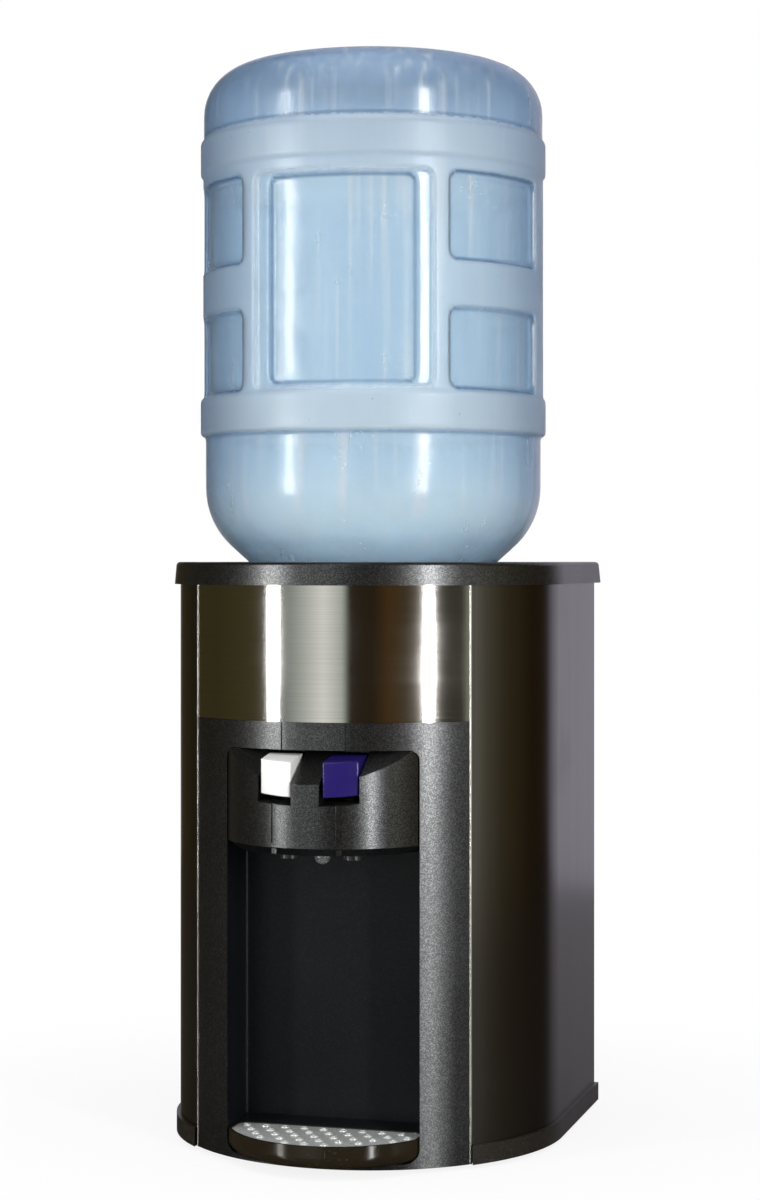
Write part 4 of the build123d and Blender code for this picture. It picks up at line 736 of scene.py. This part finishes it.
def close_tree(tree, geometry, material, target):
    """Ends a geometry tree: instances become real mesh, shaded smooth, with one material."""
    real = add_node(tree, "GeometryNodeRealizeInstances", {"Geometry": geometry})
    smooth = add_node(tree, "GeometryNodeSetShadeSmooth", {"Geometry": real.outputs[0]})
    painted = add_node(tree, "GeometryNodeSetMaterial", {"Geometry": smooth.outputs[0], "Material": material})
    tree.links.new(painted.outputs[0], target)


def plain_mesh(name, source):
    """The source with its modifiers worked out and no empty material slots; the source is removed."""
    bpy.context.view_layer.update()
    worked_out = source.evaluated_get(bpy.context.evaluated_depsgraph_get())
    mesh = bpy.data.meshes.new_from_object(worked_out)
    mesh.name = name
    for index in reversed(range(len(mesh.materials))):
        if mesh.materials[index] is None:
            mesh.materials.pop(index=index)
    bpy.data.objects.remove(source)
    piece = bpy.data.objects.new(name, mesh)
    bpy.context.scene.collection.objects.link(piece)
    return piece


def grown(name, points, edges, tree, attributes=None, **sizes):
    """Runs a geometry tree on a few points and returns the result as a plain object."""
    mesh = bpy.data.meshes.new(name + "_start")
    mesh.from_pydata(points, edges, [])
    for label, values in (attributes or {}).items():
        mesh.attributes.new(label, "FLOAT", "POINT").data.foreach_set("value", values)
    source = bpy.data.objects.new(name + "_start", mesh)
    bpy.context.scene.collection.objects.link(source)
    modifier = source.modifiers.new(name, "NODES")
    modifier.node_group = tree
    for item in tree.interface.items_tree:
        label = item.name.replace(" ", "_")
        if item.in_out == "INPUT" and label in sizes:
            modifier[item.identifier] = sizes[label]
    return plain_mesh(name, source)


# %% A mask for one pressed panel
def make_pressed_panel():
    """0 outside a rounded rectangle, rising to 1 over the slope inside its edge."""
    group, given, result = start_group(
        "pressed_panel",
        [("Across", FLOAT, 0.0), ("Up", FLOAT, 0.0), ("Half Width", FLOAT, 0.05),
         ("Half Height", FLOAT, 0.05), ("Corner", FLOAT, 0.01), ("Slope", FLOAT, 0.004)],
        [("Depth Share", FLOAT)], "GeometryNodeTree")

    def beyond(place, half):
        inner = math_node(group, "SUBTRACT", half, given["Corner"])
        return math_node(group, "SUBTRACT", math_node(group, "ABSOLUTE", place), inner)

    across = beyond(given["Across"], given["Half Width"])
    up = beyond(given["Up"], given["Half Height"])
    over_across = math_node(group, "MAXIMUM", across, 0.0)
    over_up = math_node(group, "MAXIMUM", up, 0.0)
    square = math_node(group, "MULTIPLY", over_across, over_across)
    outside = math_node(group, "SQRT", math_node(group, "MULTIPLY_ADD", over_up, over_up, square))
    inside = math_node(group, "MINIMUM", math_node(group, "MAXIMUM", across, up), 0.0)
    distance = math_node(group, "ADD", outside, inside)
    within = math_node(group, "SUBTRACT", given["Corner"], distance)
    group.links.new(ramp(group, within, 0.0, given["Slope"]), result["Depth Share"])
    return group


pressed_panel = make_pressed_panel()

# %% Sizes of the bottle
neck_end = bottle_low[2]
wall_radius = bottle_radius - 0.0020
crown_radius = bottle_radius - 0.0025
shoulder_radius = bottle_radius - 0.0040
neck_radius = 0.0275
upper_band_bottom = upper_band_top - 0.0240
shoulder_round = 0.062
shoulder_start = bottle_top - 0.327
cone_turn = radians(48)
flare_radius = neck_radius + 0.007
shoulder_corner = shoulder_start - shoulder_round * tan(cone_turn / 2)
flare_height = shoulder_corner - (shoulder_radius - flare_radius) / tan(cone_turn)
top_hollow = 0.0180
outline = [
    # distance from the axis, height, and the rounding of the corner
    (0.0, bottle_top - top_hollow, 0.0),
    (0.040, bottle_top - top_hollow, 0.050),
    (0.093, bottle_top, 0.004),
    (crown_radius, bottle_top, 0.0375),
    (crown_radius, crown_start, 0.002),
    (bottle_radius, upper_band_top, 0.002),
    (bottle_radius, upper_band_bottom, 0.002),
    (wall_radius, upper_band_bottom - band_bevel, 0.003),
    (wall_radius, lower_band_top + band_bevel, 0.003),
    (bottle_radius, lower_band_top, 0.002),
    (bottle_radius, lower_band_bottom, 0.002),
    (shoulder_radius, lower_band_bottom - band_bevel, 0.003),
    (shoulder_radius, shoulder_corner, shoulder_round),
    (flare_radius, flare_height, 0.008),
    (neck_radius, flare_height - 0.0056, 0.004),
    (neck_radius, neck_end, 0.0),
]
panels_turn = radians(5)
panel_low = lower_band_top + 0.0025
panel_high = panel_low + 0.1635
panel_border = 0.0035
window_middle = radians(58.9)
window_half = radians(22.6)
window_depth = 0.0050
pressings = [
    # middle angle, half angle, bottom, top, depth, and the mask that its sloping sides go to, for the painted
    # shade lines of walls and the painted highlight lines of lips
    (0.0, radians(31.5), panel_low, panel_high, 0.0026, "step_lip"),
    (0.0, radians(25.7), panel_low + panel_border, panel_high - panel_border, 0.0032, "step_wall"),
    (window_middle, window_half, panel_low, panel_low + 0.0625, window_depth, "step_wall"),
    (window_middle, window_half, panel_high - 0.0680, panel_high, window_depth, "step_wall"),
]
print("corners in the outline:", len(outline), "kinds of pressing:", len(pressings))

# %% Where the grid's lines are gathered
row_steps = [(0.05, 0.12), (0.92, 0.77)]
column_steps = [(0.16, 0.261), (0.44, 0.361), (0.48, 0.398), (0.58, 0.433), (0.84, 0.878), (0.94, 0.913)]


def set_spacing(node, steps):
    """Straight runs through the steps: a flat run gathers the grid's lines there."""
    curve = node.mapping.curves[0]
    for share, reached in steps:
        curve.points.new(share, reached)
    for point in curve.points:
        point.handle_type = "VECTOR"
    node.mapping.update()


def angles_round(tree, across, panel_turn):
    """A column's angle from the nearest panel's middle, and its angle round the bottle."""
    quarter = math_node(tree, "MULTIPLY_ADD", across, 4.0, 2.0)
    columns = add_node(tree, "ShaderNodeFloatCurve", {"Value": math_node(tree, "PINGPONG", quarter, 1.0)})
    set_spacing(columns, column_steps)
    off_middle = math_node(tree, "MULTIPLY", columns.outputs[0], pi / 2)
    odd = math_node(tree, "MODULO", math_node(tree, "FLOOR", quarter), 2.0)
    sense = math_node(tree, "MULTIPLY_ADD", odd, -2.0, 1.0)
    half = math_node(tree, "FLOOR", math_node(tree, "MULTIPLY_ADD", quarter, 0.5, 0.5))
    start = math_node(tree, "MULTIPLY_ADD", half, pi, panel_turn)
    return off_middle, math_node(tree, "MULTIPLY_ADD", off_middle, sense, start)


# %% Press the panels and make the wall a little uneven
def pressed_in(tree, given, off_middle, height):
    """How far the panels pull the wall inwards, and the masks of their sloping sides, for the painted step
    lines.
    """
    dip = 0.0
    edges = {"step_wall": 0.0, "step_lip": 0.0}
    for middle, half_angle, low, high, depth, kind in pressings:
        turned = math_node(tree, "SUBTRACT", off_middle, middle)
        mask = add_node(tree, "GeometryNodeGroup", node_tree=pressed_panel)
        for label, value in (("Across", math_node(tree, "MULTIPLY", turned, given["Wall Radius"])),
                             ("Up", math_node(tree, "SUBTRACT", height, (low + high) / 2)),
                             ("Half Width", math_node(tree, "MULTIPLY", given["Wall Radius"], half_angle)),
                             ("Corner", given["Panel Corner"]),
                             ("Slope", given["Panel Slope"])):
            tree.links.new(value, mask.inputs[label])
        mask.inputs["Half Height"].default_value = (high - low) / 2
        dip = math_node(tree, "MULTIPLY_ADD", mask.outputs[0], depth, dip)
        upper = math_node(tree, "SUBTRACT", 1.0, mask.outputs[0])
        slope = math_node(tree, "MULTIPLY", math_node(tree, "MULTIPLY", mask.outputs[0], upper), 4.0)
        edges[kind] = math_node(tree, "MAXIMUM", slope, edges[kind])
    return dip, edges


def uneven(tree, wall, radius, ring, amount):
    """Adds slow waves to the wall, as blowing leaves them, where the bottle is wide."""
    wave = math_node(tree, "SUBTRACT", noise_at(tree, ring, 1.6, 2.0), 0.5)
    body_only = math_node(tree, "MULTIPLY", ramp(tree, radius, 0.10, 0.13), amount)
    return math_node(tree, "MULTIPLY_ADD", wave, body_only, wall)


# %% Build the bottle's tree
def make_blown_bottle():
    """A turned outline with panels pressed in, both halves alike and each half even about its middle."""
    tree, given, result = start_group(
        "blown_bottle",
        [("Outline", GEOMETRY, None), ("Around", WHOLE, 200), ("Along", WHOLE, 220),
         ("Corner Steps", WHOLE, 10), ("Panel Turn", FLOAT, 0.0), ("Wall Radius", FLOAT, 0.133),
         ("Panel Corner", FLOAT, 0.009), ("Panel Slope", FLOAT, 0.004), ("Unevenness", FLOAT, 0.0005),
         ("Plastic", MATERIAL, None)],
        [("Bottle", GEOMETRY)], "GeometryNodeTree")
    line = add_node(tree, "GeometryNodeMeshToCurve", {"Mesh": given["Outline"]})
    rounding = add_node(tree, "GeometryNodeInputNamedAttribute", {"Name": "corner_radius"}, data_type="FLOAT")
    rounded = add_node(tree, "GeometryNodeFilletCurve",
                       {"Curve": line.outputs[0], "Count": given["Corner Steps"],
                        "Radius": rounding.outputs["Attribute"], "Limit Radius": True}, mode="POLY")
    sheet = add_node(tree, "GeometryNodeMeshGrid",
                     {"Size X": 1.0, "Size Y": 1.0,
                      "Vertices X": given["Around"], "Vertices Y": given["Along"]})
    place = add_node(tree, "GeometryNodeInputPosition")
    spot = add_node(tree, "ShaderNodeSeparateXYZ", {0: place.outputs[0]})
    off_middle, angle = angles_round(tree, spot.outputs["X"], given["Panel Turn"])
    row = math_node(tree, "ADD", spot.outputs["Y"], 0.5)
    spacing = add_node(tree, "ShaderNodeFloatCurve", {"Value": row})
    set_spacing(spacing, row_steps)
    sample = add_node(tree, "GeometryNodeSampleCurve",
                      {"Curves": rounded.outputs[0], "Factor": spacing.outputs[0]}, mode="FACTOR")
    profile = add_node(tree, "ShaderNodeSeparateXYZ", {0: sample.outputs["Position"]})
    radius, height = profile.outputs["X"], profile.outputs["Z"]
    dip, edges = pressed_in(tree, given, off_middle, height)
    side = math_node(tree, "SINE", angle)
    front = math_node(tree, "MULTIPLY", math_node(tree, "COSINE", angle), -1.0)
    stretched = math_node(tree, "MULTIPLY", height, 6)
    ring = add_node(tree, "ShaderNodeCombineXYZ", {"X": side, "Y": front, "Z": stretched})
    pulled = math_node(tree, "SUBTRACT", radius, dip)
    wall = uneven(tree, pulled, radius, ring.outputs[0], given["Unevenness"])
    around = add_node(tree, "ShaderNodeCombineXYZ",
                      {"X": math_node(tree, "MULTIPLY", wall, side),
                       "Y": math_node(tree, "MULTIPLY", wall, front), "Z": height})
    marked = sheet.outputs["Mesh"]
    # The sloping sides are stored on the mesh for the finish's painted shade and highlight lines.
    for name, slope in edges.items():
        store = add_node(tree, "GeometryNodeStoreNamedAttribute",
                         {"Geometry": marked, "Name": name, "Value": slope},
                         data_type="FLOAT", domain="POINT")
        marked = store.outputs[0]
    wrapped = add_node(tree, "GeometryNodeSetPosition", {"Geometry": marked, "Position": around.outputs[0]})
    joined = add_node(tree, "GeometryNodeMergeByDistance",
                      {"Geometry": wrapped.outputs[0], "Distance": 0.00002})
    close_tree(tree, joined.outputs[0], given["Plastic"], result["Bottle"])
    return tree


# %% Blow the bottle and give its wall a thickness
def point_outwards(mesh):
    """Joins corners that lie on one another, then turns every face to the outside."""
    work = bmesh.new()
    work.from_mesh(mesh)
    bmesh.ops.remove_doubles(work, verts=work.verts, dist=0.000001)
    bmesh.ops.recalc_face_normals(work, faces=work.faces)
    work.to_mesh(mesh)
    work.free()


corners = [(radius, 0, height) for radius, height, rounding in outline]
runs = [(index, index + 1) for index in range(len(corners) - 1)]
shell = grown("blown_bottle", corners, runs, make_blown_bottle(),
              {"corner_radius": [rounding for radius, height, rounding in outline]},
              Around=201, Along=235, Panel_Turn=panels_turn, Wall_Radius=wall_radius, Panel_Corner=0.0085,
              Panel_Slope=0.0032, Unevenness=0.0006, Plastic=finishes["bottle_plastic"])
point_outwards(shell.data)
shell.vertex_groups.new(name="inner_wall")
thickness = shell.modifiers.new("wall", "SOLIDIFY")
thickness.thickness = 0.002
thickness.offset = -1
thickness.shell_vertex_group = "inner_wall"
flow = shell.modifiers.new("flow", "SMOOTH")
flow.vertex_group = "inner_wall"
flow.factor = 0.5
flow.iterations = 6
bottle = plain_mesh("blown_bottle", shell)
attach(bottle, "bottle")
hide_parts("water_bottle")
print("faces in the bottle:", len(bottle.data.polygons))

# %% [markdown]
# ## Collars on the drip grid
# Each drain hole of the grid has a raised rim, so that a cup stands clear of the drops. Dozens of equal rims
# are a job for instances: one small ring, placed on a list of hole centres that follows the grid's rule.

# %% Build the collars
grid_low, grid_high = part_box("drip_grid")
hole_radius = 0.0016
hole_pitch = 0.015
row_pitch = 0.012
first_row = grid_high[1] - 0.0065
front_arc_centre = -0.0948
front_arc = front_arc_centre - grid_low[1]
rim_wire = 0.0009


def hole_centres(rows, columns):
    """Centres of the whole holes: staggered rows, kept inside the grid's round front and its sides."""
    centres = []
    for row in range(rows):
        y = first_row - row * row_pitch
        shift = hole_pitch / 4 if row % 2 else -hole_pitch / 4
        for column in range(columns):
            x = shift + (column - (columns - 1) / 2) * hole_pitch
            out = Vector((x, y - front_arc_centre)).length
            if out < front_arc - 3 * hole_radius and abs(x) < grid_high[0] - 3 * hole_radius:
                centres.append((x, y, grid_high[2]))
    return centres


def make_hole_collars():
    """One round rim on each given point."""
    tree, given, result = start_group(
        "hole_collars",
        [("Centres", GEOMETRY, None), ("Ring Radius", FLOAT, 0.003), ("Wire Radius", FLOAT, 0.001),
         ("Plating", MATERIAL, None)],
        [("Collars", GEOMETRY)], "GeometryNodeTree")
    ring = add_node(tree, "GeometryNodeCurvePrimitiveCircle",
                    {"Resolution": 20, "Radius": given["Ring Radius"]})
    wire = add_node(tree, "GeometryNodeCurvePrimitiveCircle",
                    {"Resolution": 8, "Radius": given["Wire Radius"]})
    rim = add_node(tree, "GeometryNodeCurveToMesh",
                   {"Curve": ring.outputs[0], "Profile Curve": wire.outputs[0]})
    placed = add_node(tree, "GeometryNodeInstanceOnPoints",
                      {"Points": given["Centres"], "Instance": rim.outputs[0]})
    close_tree(tree, placed.outputs[0], given["Plating"], result["Collars"])
    return tree


centres = hole_centres(rows=5, columns=11)
collars = grown("drip_grid_collars", centres, [], make_hole_collars(), Ring_Radius=hole_radius + rim_wire,
                Wire_Radius=rim_wire, Plating=finishes["grid_silver"])
point_outwards(collars.data)
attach(collars, "drip_grid")
print("collars:", len(centres), "faces:", len(collars.data.polygons))

# %% [markdown]
# ## Return springs
# A coil spring in each tap presses the valve onto its seat. Its foot rises with the seal while its head
# stays under the tap's cap, so it gets shorter when the lever is pressed. Each spring is a plain copy of the
# model's coil, with its place baked into its points, and the model's own spring is hidden.

# %% Copy the springs
for tap in ("white", "blue"):
    node = f"{tap}_return_spring"
    spring = bpy.data.objects.new(f"{tap}_spring_coil", frame["nodes"][node].data.copy())
    bpy.context.scene.collection.objects.link(spring)
    point_outwards(spring.data)
    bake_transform(spring)
    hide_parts(node)
    print(spring.name, "faces:", len(spring.data.polygons))
